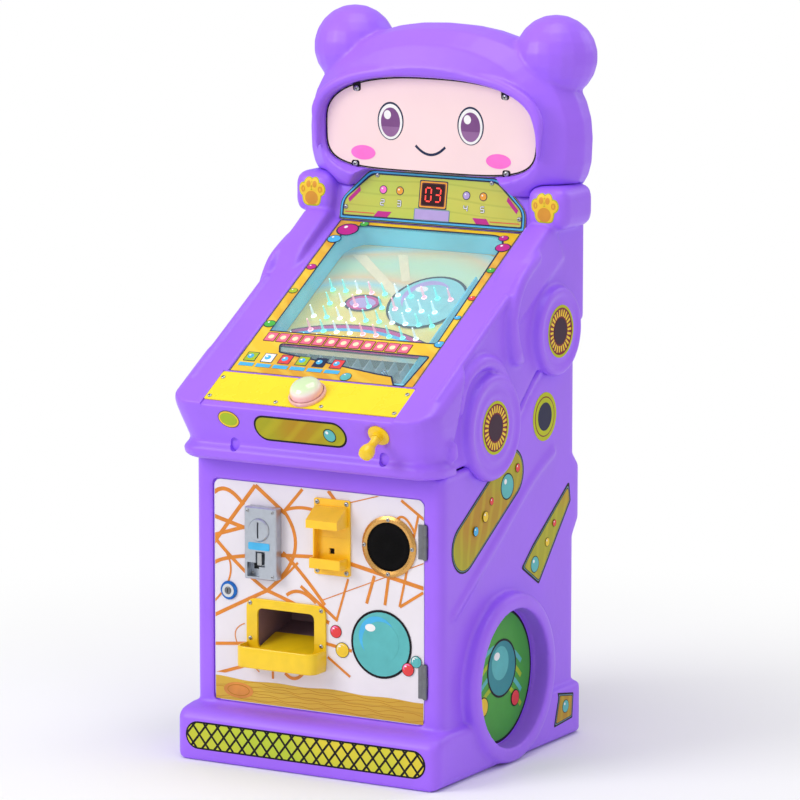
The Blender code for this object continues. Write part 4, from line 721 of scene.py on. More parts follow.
def make_skins(sizes):
    voxel = sizes.voxel
    ridge = sizes.ridge
    half = SIDE_WALL

    def lower(bm):
        for side in (1, -1):
            # A broad raised band runs below the long sticker.
            side_loop(bm, [(-0.185, 0.290), (-0.05, 0.382), (0.09, 0.480), (0.17, 0.520)], side, half - 0.001,
                      ridge * 1.9, 0.6)
            # A soft lip under the upper moulding closes the seam between the two.
            seam = [(-0.207, 0.5345), (-0.150, 0.5365), (-0.0433, 0.545), (-0.0083, 0.556),
                    (0.1207, 0.669), (0.250, 0.724)]
            roll(bm, [(side * (half - 0.0050), y, z - 0.003) for y, z in seam], [0.0068] * 6, fine=40)

    def upper(bm):
        for side in (1, -1):
            for y, z, radius in ((-0.0624, 0.599, 0.083), (0.1697, 0.735, 0.070)):
                ring_ridge(bm, side, half + 0.0130, y, z, radius, ridge * 1.45)
                ring_ridge(bm, side, half + 0.0130, y, z, radius - 0.025, ridge * 0.9)
            # The rail's outer bead, parallel to the glass.
            rail = [SLOPED @ Vector((side * (half - 0.004), along, 0.001))
                    for along in (-0.03, 0.06, 0.14, 0.22, 0.26)]
            roll(bm, rail, [ridge * 1.3] * 5, fine=40)
            # A swoosh from the shoulder down to a teardrop behind the front bulge.
            swoosh = [(0.105, 0.872), (0.045, 0.835), (0.012, 0.775), (0.022, 0.715), (0.050, 0.700)]
            spots = [(side * (half + 0.004), y, z) for y, z in swoosh]
            roll(bm, spots, [ridge * thick for thick in (1.8, 2.3, 2.6, 3.3, 1.2)], (0.8, 1, 1), 30)
            arch = [(-0.168, 0.640), (-0.150, 0.690), (-0.095, 0.715), (-0.040, 0.702), (0.000, 0.668)]
            roll(bm, [(side * (half + 0.004), y, z) for y, z in arch],
                 [ridge * thick for thick in (1.2, 1.9, 2.3, 2.1, 1.3)], (0.8, 1, 1), 30)
            roll(bm, [(side * 0.256, -0.205, 0.573), (side * 0.262, -0.214, 0.590)],
                 [ridge * 2.0, ridge * 1.6])

    def hood(bm):
        # A thick soft lip over the top and sides of the face opening.
        face = [point for point in face_outline(0.011, 48) if point[1] > -0.060]
        start = next(index for index, (x, z) in enumerate(face)
                     if x > 0 and z < face[index - 1][1] and z < -0.03)
        ordered = face[start:] + face[:start]
        spots = [(x, face_low.y - 0.016, FACE_Z + z) for x, z in ordered]
        last = len(spots) - 1
        roll(bm, spots, [ridge * min(1.9, 0.4 + 0.5 * min(i, last - i)) for i in range(len(spots))], fine=6)

    door_middle = 0.2975
    beds = [cutter("door_recess", rounded(box_outline(0, door_middle, 0.212, 0.1975), 0.012), 0.0, 0.08,
                   facing_front(0, DOOR_Y + 0.0023, 0)),
            cutter("door_opening", box_outline(0, door_middle, 0.198, 0.1835), -0.03, 0.05, ON_DOOR)]
    # A flat floor in each wheel ring, for its sticker.
    beds += [cutter(f"wheel_bed_{side}", disc(side * WHEEL_Y, WHEEL_Z, 0.1212, count=72), -0.0003, 0.045,
                    facing_side(side, half - 0.011)) for side in (1, -1)]
    skin("skin_lower", "lower_cabinet", lower, beds, voxel, 9, sizes.triangles)
    glass = [(-GLASS_HALF - 0.0003, -0.0003), (GLASS_HALF + 0.0003, -0.0003),
             (GLASS_HALF + 0.0003, GLASS_LENGTH + 0.02), (-GLASS_HALF - 0.0003, GLASS_LENGTH + 0.02)]
    tub = [(-0.177, 0.004), (0.177, 0.004), (0.177, 0.434), (-0.177, 0.434)]
    beds = [cutter("glass_bed", glass, -0.0033, 0.03, SLOPED),
            cutter("plate_bed", box_outline(0, -0.056, 0.1913, 0.053), -0.0003, 0.03, SLOPED),
            cutter("tub", tub, -0.06, 0.01, SLOPED),
            cutter("display_bed", display_outline(0.0012), -0.0033, 0.08, ON_DISPLAY)]
    # Two thumb notches under the console's nose.
    for index, x in enumerate((-0.139, 0.157)):
        spot = facing_front(x, hit_y("upper_shell", x, 0.568), 0.566)
        beds.append(cutter(f"notch_{index}", disc(0, 0, 0.0095, 0.0120, 28), -0.0028, 0.03, spot))
    skin("skin_upper", "upper_shell", upper, beds, voxel, 6, sizes.triangles)
    beds = [cutter("face_bed", face_outline(0.0012), -0.0033, 0.013, ON_FACE)]
    return skin("skin_hood", "head_hood", hood, beds, voxel, 8, sizes.triangles)


WEB = (                            # start, control (or nothing), end, width in millimetres
    ((-.210, .468), (-.185, .4905), (-.151, .4526), 5), ((-.126, .488), None, (-.210, .381), 5),
    ((-.126, .488), None, (-.067, .445), 5), ((-.031, .490), None, (-.067, .449), 4),
    ((-.067, .450), (-.040, .461), (-.010, .456), 4), ((-.067, .447), (-.010, .378), (-.103, .305), 4.5),
    ((-.103, .305), (-.156, .279), (-.210, .251), 4.5), ((-.210, .4265), None, (-.151, .412), 5),
    ((-.210, .393), None, (-.151, .412), 4.5), ((-.210, .3885), (-.149, .330), (-.103, .305), 4.5),
    ((-.103, .305), (-.05, .290), (.02, .262), 4.5), ((-.210, .344), (-.180, .365), (-.010, .374), 4.5),
    ((-.185, .363), (-.160, .325), (-.210, .276), 2.5), ((-.071, .3755), (-.035, .348), (.012, .293), 4.5),
    ((-.103, .305), (-.071, .328), (-.042, .359), 3), ((.008, .2995), None, (.208, .384), 1.2),
    ((.065, .369), None, (.208, .341), 5), ((.060, .342), None, (.037, .268), 3),
    ((-.035, .320), None, (.037, .268), 4), ((.112, .353), None, (.097, .305), 4),
    ((.140, .353), None, (.133, .306), 4), ((.165, .489), None, (.208, .461), 3.5),
    ((.155, .453), (.169, .474), (.190, .4375), 3), ((.199, .469), None, (.162, .306), 3),
    ((.062, .475), None, (.119, .492), 1.2), ((.0205, .492), None, (.035, .476), 4.5),
    ((-.210, .200), None, (-.146, .207), 4), ((-.210, .146), None, (-.131, .173), 4),
    ((-.149, .242), (-.199, .223), (-.121, .160), 1.2), ((-.092, .163), None, (-.092, .146), 3),
    ((-.067, .163), (-.049, .146), (-.031, .166), 4), ((.012, .225), None, (.065, .217), 4),
    ((.019, .201), None, (.062, .172), 3), ((-.0635, .301), (-.038, .322), (-.006, .2945), 4),
    ((.208, .3335), None, (.164, .305), 3.5))


def marble_layers(x, y, radius, base, shine):
    """A printed marble: rim, body, a lighter crescent and a white glint."""
    return [("ink_black", [disc(x, y, radius)]), (base, [disc(x, y, radius * 0.93)]),
            (shine, [disc(x - radius * 0.14, y + radius * 0.20, radius * 0.60)]),
            (base, [disc(x - radius * 0.02, y + radius * 0.06, radius * 0.60)]),
            ("ink_white", [disc(x - radius * 0.36, y + radius * 0.45, radius * 0.17, radius * 0.11, 16)])]


def make_door_prints():
    dress("front_door", "laminated_white_film")
    half, low, high = door_high.x, door_low.z, door_high.z
    cut = (-half + 0.001, low + 0.001, half - 0.001, high - 0.001)
    strokes = []
    for first, control, last, width in WEB:
        points = bezier(first, control, last) if control else [first, last]
        along = (Vector(points[-1]) - Vector(points[-2])).normalized() * 0.002
        points[-1] = tuple(Vector(points[-1]) + along)
        strokes.append(ribbon(points, width / 700))
    top = [(x / 100, 0.1425 + 0.0013 * math.sin(x * 0.55) + 0.001 * math.sin(x * 0.23 + 1))
           for x in range(21, -22, -1)]
    band = [(-0.21, low - 0.01), (0.21, low - 0.01)] + top
    knot = disc(-0.162, 0.122, 0.030, 0.014)
    rings = ribbon(disc(-0.162, 0.122, 0.022, 0.0095, 30), 0.0012, True)
    grain = [ribbon([(x / 100, 0.108 + 0.0058 * row + 0.0016 * math.sin(x * 0.62 + row * 1.9)
                      + 0.0012 * math.sin(x * 1.31 + row))
                     for x in range(-21 + 3 * (row % 3), 22 - 4 * (row % 2))], 0.0007)
             for row in range(6)]
    layers = [("wood_print_ink", [band]), ("ink_umber", grain), ("knot_print_ink", [knot]),
              ("ink_umber", rings)]
    prints("door_ground_print", layers, *DOOR, 0.0002, cut)
    # Strokes cross each other, so each stands a little higher than the last.
    bm = bmesh.new()
    for index, stroke in enumerate(strokes):
        add_slab(bm, stroke, 0.0002, 0.0003 + index * 0.000012, 0, (cut[0], 0.150, cut[2], cut[3]))
    obj = to_object("door_web_print", bm, ["web_line_ink"], ON_DOOR, recalc=False)
    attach(obj, "door")
    for name, spot, radius, looks in (
            ("teal_big", (.126, .235), .060, ("ink_teal", "ink_sky")),
            ("red_small", (.0356, .2476), .0114, ("ink_red", "ink_pink")),
            ("yellow_small", (.0484, .2164), .0135, ("ink_gold", "ink_cream")),
            ("red_low", (.179, .197), .0118, ("ink_red", "ink_pink")),
            ("teal_low", (.195, .212), .0105, ("ink_teal", "ink_white"))):
        lift = 0.0008 if radius < 0.03 else 0.00078
        if name.endswith("low"):
            lift = 0.0017
        prints(f"door_marble_{name}", marble_layers(*spot, radius, *looks), *DOOR, lift, cut)


def make_door_fittings():
    for name, look in (("coin_plate", "silver_zinc_casting"), ("coin_slot_disc", "silver_zinc_casting"),
                       ("coin_return_lever", "zinc_plated_steel"), ("payment_bracket", "yellow_moulded_abs"),
                       ("prize_chute", "mauve_chute_abs"),
                       ("coin_mechanism", "black_moulded_abs"), ("speaker_ring", "gold_anodised_aluminium"),
                       ("speaker_grille", "speaker_cloth"), ("speaker_driver", "black_moulded_abs"),
                       ("lock_barrel", "blue_anodised_ring"), ("lock_cylinder", "hinge_steel"),
                       ("lock_cam", "zinc_plated_steel")):
        dress(name, look)
    for level in ("upper", "lower"):
        for part in ("door_leaf", "frame_leaf", "pin"):
            dress(f"hinge_{level}_{part}", "hinge_steel")
    screws("bracket_screws", [facing_front(x, hit_y("payment_bracket", x, z), z)
                              for x, z in ((.001, .4725), (.059, .4725), (.059, .3525), (.001, .3525))],
           "door", 0.0042)
    tray = make_tray()
    tree = surface_of(tray)
    screws("tray_screws", [facing_front(x, hit(tree, (x, -1, z), (0, 1, 0)).y - 0.0001, z)
                           for x, z in ((-.1345, .2815), (.0085, .2815), (.0085, .2190), (-.1345, .2190))],
           "door", 0.0038)
    ring_low, ring_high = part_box("speaker_ring")
    middle_x, middle_z = (ring_low.x + ring_high.x) / 2, (ring_low.z + ring_high.z) / 2
    radius = (ring_high.x - ring_low.x) / 2 - 0.0058
    places = []
    for step in range(4):
        angle = QUARTER * step
        x, z = middle_x + radius * math.cos(angle), middle_z + radius * math.sin(angle)
        places.append(facing_front(x, hit_y("speaker_ring", x, z), z))
    screws("speaker_screws", places, "door", 0.0036, "zinc_plated_steel")
    low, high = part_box("coin_plate")
    corners = [(low.x + 0.007, low.z + 0.007), (high.x - 0.007, low.z + 0.007),
               (low.x + 0.007, high.z - 0.007), (high.x - 0.007, high.z - 0.007)]
    screws("coin_plate_screws", [facing_front(x, hit_y("coin_plate", x, z), z) for x, z in corners], "door",
           0.0030, "zinc_plated_steel")
    with_hole("lock_face", disc(-.180, .298, .0118), [disc(-.180, .298, .0069)], 0.0002, 0.0008,
              "chromed_brass", facing_front(0, hit_y("lock_barrel", -.180, .3075), 0), "door",
              "chromed_brass")
    face = hit_y("coin_plate", -0.107, 0.335)
    prints("coin_plate_label", [("ink_sky", [rounded(box_outline(-0.107, 0.3855, 0.0215, 0.0065), 0.003)])],
           facing_front(0, face, 0), "door", "grey_zinc_casting", 0.0003)


def make_tray():
    """The prize tray: a frame with round corners round its window, and a round-nosed tub in front."""
    low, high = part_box("prize_tray")
    middle, half = (low.x + high.x) / 2, (high.x - low.x) / 2
    back, tall = high.y, (high.z - low.z) / 2
    height = (high.z + low.z) / 2
    place = facing_front(middle, back, height)

    def part(name, outline, bottom, top, frame, bevel=0.0):
        bm = bmesh.new()
        add_slab(bm, outline, bottom, top)
        if bevel:
            edges = [edge for edge in bm.edges if edge.is_manifold and edge.calc_face_angle() > 1.2]
            bmesh.ops.bevel(bm, geom=edges, offset=bevel, offset_type="OFFSET", affect="EDGES", segments=3,
                            profile=0.5, material=-1)
        return to_object(name, bm, ["tray_moulded_abs"], frame)

    window = 0.0575
    tray = part("tray_skin", rounded(box_outline(0, 0, half, tall), 0.020, 8), 0, 0.0045, place, 0.0012)
    plan = moved(middle, 0, low.z + 0.004)
    reach, wall, depth = -low.y, 0.0032, 0.037
    outer = rounded([(half, back - 0.001), (-half, back - 0.001), (-half, -reach), (half, -reach)],
                    [0, 0, 0.020, 0.020], 8)
    inner = rounded([(half - wall, back - 0.0045), (wall - half, back - 0.0045), (wall - half, wall - reach),
                     (half - wall, wall - reach)], [0, 0, 0.017, 0.017], 8)
    tub = part("tray_tub", outer, 0, depth, plan, 0.0022)
    hollow = part("tray_hollow", inner, wall, depth + 0.05, plan)
    opening = rounded(box_outline(0, 0.0075, window, 0.0355), 0.012, 8)
    mouth = part("tray_mouth", opening, -0.05, 0.0047, place)
    steps = (("UNION", tub), ("DIFFERENCE", hollow), ("DIFFERENCE", mouth))
    for name, (operation, tool) in zip("abc", steps):
        change = tray.modifiers.new(name, "BOOLEAN")
        change.operation, change.solver, change.object = operation, "EXACT", tool
    graph = bpy.context.evaluated_depsgraph_get()
    tray.data = bpy.data.meshes.new_from_object(tray.evaluated_get(graph))
    tray.modifiers.clear()
    tray.data.shade_smooth()
    tray.data.set_sharp_from_angle(angle=math.radians(35))
    for tool in (mouth, tub, hollow):
        bpy.data.objects.remove(tool)
    # Behind the window the tray's floor runs back and up into the chute as a ramp.
    sill, run = height - 0.0280, 0.055
    front, deep, across = back - 0.0040, back + run, window - 0.0015
    profile = [(front, sill - 0.0020), (deep, sill + 0.0155), (deep, sill + 0.0180), (front, sill + 0.0005)]
    ramp = part("tray_ramp", profile, -across, across, facing_side(1, middle))
    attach(ramp, "door")
    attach(tray, "door")
    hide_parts("prize_tray")
    return tray


def hit_y(node_name, x, z):
    """The front face of a model part at x and z."""
    tree = surface_of(NODES[node_name])
    return hit(tree, (x, -1.0, z), (0, 1, 0)).y - 0.0001


def make_face_panel():
    dress("face_panel", "face_pink_acrylic")
    dress("face_light_box", "white_moulded_abs")
    with_hole("face_rim_print", face_outline(-0.0005), [face_outline(-0.0030)], 0.0002, 0.00035, "ink_black",
              *FACE)
    layers = []
    for side in (1, -1):
        x, y = side * 0.081, 1.0845 - FACE_Z
        layers.append([("ink_navy", [disc(x, y, 0.0265, 0.0340)]),
                       ("ink_white", [disc(x, y - 0.001, 0.0240, 0.0315)]),
                       ("ink_eye", [disc(x, y - 0.002, 0.0195, 0.0260)]),
                       ("ink_eye_low", [[point for point in disc(x, y - 0.002, 0.0195, 0.0260)
                                         if point[1] < y - 0.008]]),
                       ("ink_white", [disc(x - 0.006, y + 0.011, 0.0072, 0.0080)])])
        cheek = side * 0.137
        layers.append([("ink_blush", [disc(cheek, 1.0255 - FACE_Z, 0.0250, 0.0130)])])
    smile = bezier((-0.030, 1.044 - FACE_Z), (0, 1.014 - FACE_Z), (0.030, 1.044 - FACE_Z))
    layers.append([("ink_navy", [ribbon(smile, 0.0045)])])
    for index, layer in enumerate(layers):
        prints(f"face_print_{index}", layer, *FACE, 0.0002)
    spots = [(side * x, z - FACE_Z) for side in (1, -1) for x, z in ((0.150, 1.139), (0.153, 1.0045))]
    for index, (x, y) in enumerate(spots):
        tall = 0.0115 if y > 0 else 0.010
        shift = 0.004 if y > 0 else -0.001
        tab = rounded(box_outline(x, y + shift, 0.0080, tall * 0.75), 0.005)
        prints(f"face_tab_{index}", [("ink_black", [tab])], *FACE, 0.0002)
    screws("face_screws", [ON_FACE @ moved(x, y, 0.0005) for x, y in spots], "cabinet", 0.0052)


SEGMENTS = {"a": ((-1, 2), (1, 2)), "b": ((1, 2), (1, 0)), "c": ((1, 0), (1, -2)), "d": ((-1, -2), (1, -2)),
            "e": ((-1, 0), (-1, -2)), "f": ((-1, 2), (-1, 0)), "g": ((-1, 0), (1, 0))}
DIGITS = {"0": "abcdef", "3": "abgcd", "2": "abged", "4": "fgbc", "5": "afgcd"}


def digit(text, x, y, wide, tall, thick, gap=0.15):
    """A generic seven-segment numeral as bars."""
    bars = []
    for name in DIGITS[text]:
        (x0, y0), (x1, y1) = SEGMENTS[name]
        first = Vector((x + x0 * wide, y + y0 * tall / 2))
        last = Vector((x + x1 * wide, y + y1 * tall / 2))
        inset = (last - first) * gap
        bars.append(ribbon([tuple(first + inset), tuple(last - inset)], thick))
    return bars


def make_display_prints():
    dress("display_panel", "display_printed_acrylic")
    dress("display_module", "black_moulded_abs")
    outer, middle, inner = display_outline(-0.0006), display_outline(-0.0022), display_outline(-0.0052)
    with_hole("display_border", outer, [display_outline(-0.0080)], 0.0002, 0.00035, "ink_navy", *DISPLAY)
    with_hole("display_blue_line", middle, [inner], 0.0004, 0.00055, "ink_sky", *DISPLAY)
    wedges = [[(side * x, y) for x, y in ((0.090, 0.008), (0.118, 0.008), (0.110, 0.018), (0.082, 0.018))]
              for side in (1, -1)]
    corner = Vector((display_high.x, 0.035))
    up_edge, inward = Vector((-0.704, 0.710)), Vector((-0.710, -0.704))
    wedge = [corner + up_edge * along + inward * depth
             for along, depth in ((0.012, 0.0095), (0.044, 0.0095), (0.040, 0.0165), (0.010, 0.0165))]
    ends = [[(side * x, y) for x, y in wedge] for side in (1, -1)]
    thin = [[(side * x, y) for x, y in ((0.118, 0.0125), (0.177, 0.0125), (0.177, 0.0140), (0.117, 0.0140))]
            for side in (1, -1)]
    prints("display_wedges", [("ink_magenta", wedges + ends), ("ink_red", thin)], *DISPLAY, 0.0003)
    bare = rounded(box_outline(0, 0.0175, 0.036, 0.0105), 0.003)
    prints("display_bare_label", [("ink_slate", [bare]), ("ink_lilac", [grown(bare, -0.0016)])], *DISPLAY,
           0.0003)
    up = display_low.z
    lamp_y, number_y = 0.960 - up, 0.9375 - up
    for index, (x, text) in enumerate(((-.102, "2"), (-.068, "3"), (.067, "4"), (.101, "5"))):
        look = ("ink_blush", "ink_amber", "ink_lilac", "ink_amber")[index]
        lamp = [("ink_navy", [disc(x, lamp_y, 0.0078)]), (look, [disc(x, lamp_y, 0.0064)]),
                ("ink_white", [disc(x - 0.002, lamp_y + 0.002, 0.0016)])]
        prints(f"score_lamp_{index}", lamp, *DISPLAY, 0.0002)
        number = [("ink_navy", digit(text, x, number_y, 0.0034, 0.0048, 0.0034, 0.0)),
                  ("ink_white", digit(text, x, number_y, 0.0034, 0.0048, 0.0016, 0.02))]
        prints(f"score_number_{index}", number, *DISPLAY, 0.0002)
    boxes = [rounded(box_outline(0, lamp_y - 0.003, 0.0275 - less, 0.0240 - less), 0.003)
             for less in (-0.001, 0.0008, 0.0035, 0.0055)]
    prints("score_frame", [("ink_navy", [boxes[0]]), ("ink_amber", [boxes[1]]), ("ink_maroon", [boxes[2]]),
                           ("ink_led", [boxes[3]])], *DISPLAY, 0.0002)
    lit = digit("0", -0.0095, lamp_y - 0.003, 0.0055, 0.0120, 0.0022) + \
        digit("3", 0.0095, lamp_y - 0.003, 0.0055, 0.0120, 0.0022)
    prints("score_segments", [("red_segment_led", lit)], *DISPLAY, 0.0007)
    spots = [(side * x, (z - up) / math.cos(DISPLAY_LEAN)) for side in (1, -1)
             for x, z in ((.116, .986), (.176, .925))]
    spots = [(x, min(y, 0.0815)) for x, y in spots]
    screws("display_screws", [ON_DISPLAY @ moved(x, y, 0.0004) for x, y in spots], "cabinet", 0.0042)


def make_glass_print():
    dress("playfield_glass", "clear_cast_acrylic")
    outer = [(-GLASS_HALF + 0.001, 0.001), (GLASS_HALF - 0.001, 0.001),
             (GLASS_HALF - 0.001, GLASS_LENGTH - 0.001), (-GLASS_HALF + 0.001, GLASS_LENGTH - 0.001)]
    window = ([(-.161, .117), (.170, .121)] + bezier((.165, .385), (.165, .428), (.130, .428), 10)
              + bezier((-.117, .428), (-.161, .428), (-.161, .385), 10))
    pocket = rounded([(-.124, .085), (-.113, .062), (.100, .028), (.129, .025), (.144, .003), (.164, .003),
                      (.173, .086)], 0.005, 4)
    with_hole("glass_border_print", outer, [window, pocket], 0.0002, 0.00035, "border_printed_film", *GLASS)
    edges = (ribbon(window, 0.0032, True) + ribbon(pocket, 0.0030, True)
             + ribbon(grown(outer, -0.0012), 0.0018, True))
    prints("glass_window_lines", [("ink_navy", edges)], *GLASS, 0.0005)
    tiles = []
    for index in range(12):
        x = -0.150 + index * 0.0243
        tiles.append(rounded(box_outline(x, 0.1010, 0.0113, 0.0125), 0.002))
    inner = [grown(tile, -0.0016) for tile in tiles]
    dots = [disc(sum(x for x, _ in tile) / len(tile), sum(y for _, y in tile) / len(tile), 0.0055, count=20)
            for tile in tiles]
    prints("glass_pink_tiles", [("ink_maroon", tiles), ("ink_tile", inner), ("ink_cream", dots)], *GLASS,
           0.0005)
    for index, look in enumerate(("ink_lime", "ink_white", "ink_red", "ink_lime", "ink_navy", "ink_red")):
        x = -0.160 + 0.0345 * index
        chip = rounded(box_outline(x, 0.0440, 0.0118, 0.0125), 0.002)
        bar = box_outline(x, 0.0225, 0.0145, 0.0045)
        layers = [("ink_navy", [chip]), (look, [grown(chip, -0.0015)]),
                  ("ink_sky", [bar, disc(x - 0.002, 0.0450, 0.0060, count=20)]),
                  ("ink_white", [disc(x - 0.004, 0.0470, 0.0020, count=12)])]
        prints(f"glass_tile_{index}", layers, *GLASS, 0.0005)
    blobs = (("magenta", -.155, .412, .022), ("sky", -.168, .383, .014), ("green", -.171, .135, .012),
             ("magenta", -.172, .300, .010), ("lime", -.173, .230, .009), ("sky", .177, .120, .011),
             ("magenta", .168, .395, .015), ("green", .176, .330, .009), ("red", .177, .250, .008),
             ("sky", .175, .195, .007), ("magenta", .157, .421, .010), ("green", -.130, .431, .009))
    cut = (-GLASS_HALF + 0.0015, 0.0015, GLASS_HALF - 0.0015, GLASS_LENGTH - 0.0015)
    for index, (look, x, y, size) in enumerate(blobs):
        layers = [("ink_navy", [disc(x, y, size, size * 0.8)]),
                  (f"ink_{look}", [disc(x, y, size * 0.88, size * 0.68)]),
                  ("ink_white", [disc(x - size * 0.3, y + size * 0.3, size * 0.16)])]
        prints(f"glass_blob_{index}", layers, *GLASS, 0.0010, cut)
    prints("glass_teal_marble", marble_layers(.045, .013, .0105, "ink_teal", "ink_sky"), *GLASS, 0.0010)


# ---------------------------------------------------------------- playfield under the glass
PLUNGER_X = (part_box("plunger_flange")[0].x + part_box("plunger_flange")[1].x) / 2
PLUNGER_FRAME = SLOPED @ moved(PLUNGER_X, 0, -0.030) @ Matrix.Rotation(QUARTER, 4, "X")


def make_playfield():
    dress("playfield_board", "wood_print_ink")
    dress("playfield_frame", "teal_tinted_acrylic")
    dress("pocket_comb", "divider_clear_acrylic")
    dress("pocket_gate", "zinc_plated_steel")
    for number in range(1, 5):
        dress(f"marble_{number}", "glass_marble_blue")
    right = PLUNGER_X - 0.0170
    left, low, high = -0.1665, 0.0145, GLASS_LENGTH - 0.0150
    outline = rounded([(left, low), (right, low), (right, high), (left, high)],
                      [0.001, 0.001, 0.034, 0.034], 8)
    lane_left = right + 0.0035
    lane = rounded([(lane_left, low), (-left, low), (-left, high - 0.01), (lane_left, high - 0.04)], 0.001, 3)
    pit = box_outline((left + right) / 2, 0.064, (right - left) / 2, 0.0485)
    prints("field_print", [("field_printed_film", [outline]), ("ink_cream", [lane]), ("ink_pit", [pit])],
           *FIELD, 0.0001)
    hill = [(-0.160, 0.125)] + bezier((-0.160, 0.175), (-0.020, 0.235), (0.125, 0.165), 20) + [(0.132, 0.125)]
    prints("field_hill", [("ink_plum", [hill]), ("ink_magenta", [grown(hill, -0.003)]),
                          ("ink_sky", [grown(hill, -0.012)]), ("ink_gold", [grown(hill, -0.020)])],
           *FIELD, 0.0009)
    oval = disc(-0.060, 0.262, 0.036, 0.024)
    prints("field_badge", [("ink_plum", [oval]), ("ink_magenta", [grown(oval, -0.004)]),
                           ("ink_lilac", [grown(oval, -0.010)])], *FIELD, 0.0016)
    prints("field_marble", marble_layers(0.062, 0.278, 0.074, "ink_pale_teal", "ink_lilac"), *FIELD, 0.0023)
    beams = [[(-0.150, 0.395), (-0.120, 0.395), (0.010, 0.290), (-0.010, 0.285)],
             [(-0.060, 0.405), (-0.040, 0.405), (0.000, 0.335), (-0.015, 0.330)]]
    prints("field_beams", [("ink_cream", beams)], *FIELD, 0.0007)
    # Clear acrylic posts, each over its own lamp: the tube, and a bright bead at its foot.
    tubes, lamps = bmesh.new(), bmesh.new()
    looks = ("ice", "aqua", "rose")
    chance = random.Random(4)
    for row in range(5):
        count = 10 - row % 2
        for index in range(count):
            x = (index - (count - 1) / 2) * 0.0265 - 0.014
            spot = moved(x, 0.136 + row * 0.038, 0.0040)
            tint = chance.choice((0, 0, 1, 1, 2))
            lathe(tubes, [(0, 0), (0.0034, 0), (0.0034, 0.0016), (0.0024, 0.0030), (0.0020, 0.0190),
                          (0.0012, 0.0222), (0, 0.0230)], ON_FIELD @ spot, 12, tint)
            lathe(lamps, [(0.0036, 0), (0.0052, 0), (0.0046, 0.0012), (0.0036, 0.0012), (0.0036, 0)],
                  ON_FIELD @ spot, 16, tint)
            lathe(lamps, [(0, 0.0232), (0.0011, 0.0237), (0.0011, 0.0247), (0, 0.0252)], ON_FIELD @ spot, 8,
                  tint)
    posts = to_object("lit_posts", tubes, [f"lit_post_{look}" for look in looks], recalc=False)
    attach(posts, "cabinet")
    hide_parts("pin_field")
    glow = to_object("post_lamps", lamps, [f"post_lamp_{look}" for look in looks], recalc=False)
    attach(glow, "cabinet")
    return glow


def make_console():
    dress("control_plate", "lemon_powder_coat")
    dress("button_housing", "housing_pink_abs")
    dress("dome_button", "button_pink_acrylic")
    dress("button_switch", "black_moulded_abs")
    dress("plunger_flange", "tray_moulded_abs")
    dress("plunger_rod", "chromed_brass")
    dress("plunger_knob", "tray_moulded_abs")
    spots = ((-.183, -.0195), (-.183, -.0705), (-.050, -.0715), (.040, -.0715), (.183, -.0705),
             (.183, -.0195))
    screws("plate_screws", [SLOPED @ moved(x, s, 0.0021) for x, s in spots], "cabinet", 0.0040)
    # The plunger's coil spring: wire swept along a helix, with closed end turns.
    low, high = 0.0223, 0.0727
    turns, count, wire = 15, 15 * 16, 0.00058
    bm = bmesh.new()
    rings = []
    for step in range(count + 1):
        share = step / count
        angle = 2 * math.pi * turns * share
        rise = low + (high - low) * (0.5 - 0.5 * math.cos(math.pi * min(1, max(0, share)))) * 0.12 \
            + (high - low) * share * 0.88
        centre = Vector((0.00545 * math.cos(angle), 0.00545 * math.sin(angle), rise))
        out = Vector((math.cos(angle), math.sin(angle), 0))
        ring = []
        for corner in range(8):
            turn = 2 * math.pi * corner / 8
            spot = centre + out * (wire * math.cos(turn)) + Vector((0, 0, wire * math.sin(turn)))
            ring.append(bm.verts.new(spot))
        rings.append(ring)
    for first, second in zip(rings, rings[1:]):
        for corner in range(8):
            bm.faces.new((first[corner - 1], first[corner], second[corner], second[corner - 1]))
    bm.faces.new(rings[0])
    bm.faces.new(rings[-1])
    spring = to_object("coil_spring", bm, ["zinc_plated_steel"], PLUNGER_FRAME)
    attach(spring, "cabinet")
    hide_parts("plunger_spring")
    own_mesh(spring)
    return spring


# ---------------------------------------------------------------- stickers that follow a skin
def sticker(name, layers, place, tree, body, cell=0.007, lift=0.0003):
    """Lays layers of (material, [outlines]) on a surface, along -Z of place."""
    out = place.to_3x3() @ Vector((0, 0, 1))
    bm = bmesh.new()
    names = []
    for level, (material, outlines) in enumerate(layers):
        if material not in names:
            names.append(material)
        for outline in outlines:
            part = bmesh.new()
            part.faces.new([part.verts.new((x, y, 0)) for x, y in outline])
            bmesh.ops.triangulate(part, faces=part.faces)
            for axis in (0, 1):
                low = min(point[axis] for point in outline)
                high = max(point[axis] for point in outline)
                steps = max(1, int((high - low) / cell))
                for step in range(1, steps):
                    spot, normal = [0, 0, 0], [0, 0, 0]
                    spot[axis], normal[axis] = low + (high - low) * step / steps, 1
                    bmesh.ops.bisect_plane(part, geom=part.verts[:] + part.edges[:] + part.faces[:],
                                           plane_co=spot, plane_no=normal)
            for vert in part.verts:
                start = place @ Vector((vert.co.x, vert.co.y, 0.06))
                vert.co.z = (place.inverted() @ hit(tree, start, -out)).z + lift + level * FILM
            grown_part = bmesh.ops.extrude_face_region(part, geom=part.faces[:])
            raised = [item for item in grown_part["geom"] if isinstance(item, bmesh.types.BMVert)]
            bmesh.ops.translate(part, verts=raised, vec=(0, 0, FILM * 0.9))
            bmesh.ops.recalc_face_normals(part, faces=part.faces)
            join(bm, part, names.index(material))
    obj = to_object(name, bm, names, place, recalc=False)
    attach(obj, body)
    return obj


def sided(side, outline):
    return [(side * y, z) for y, z in outline]


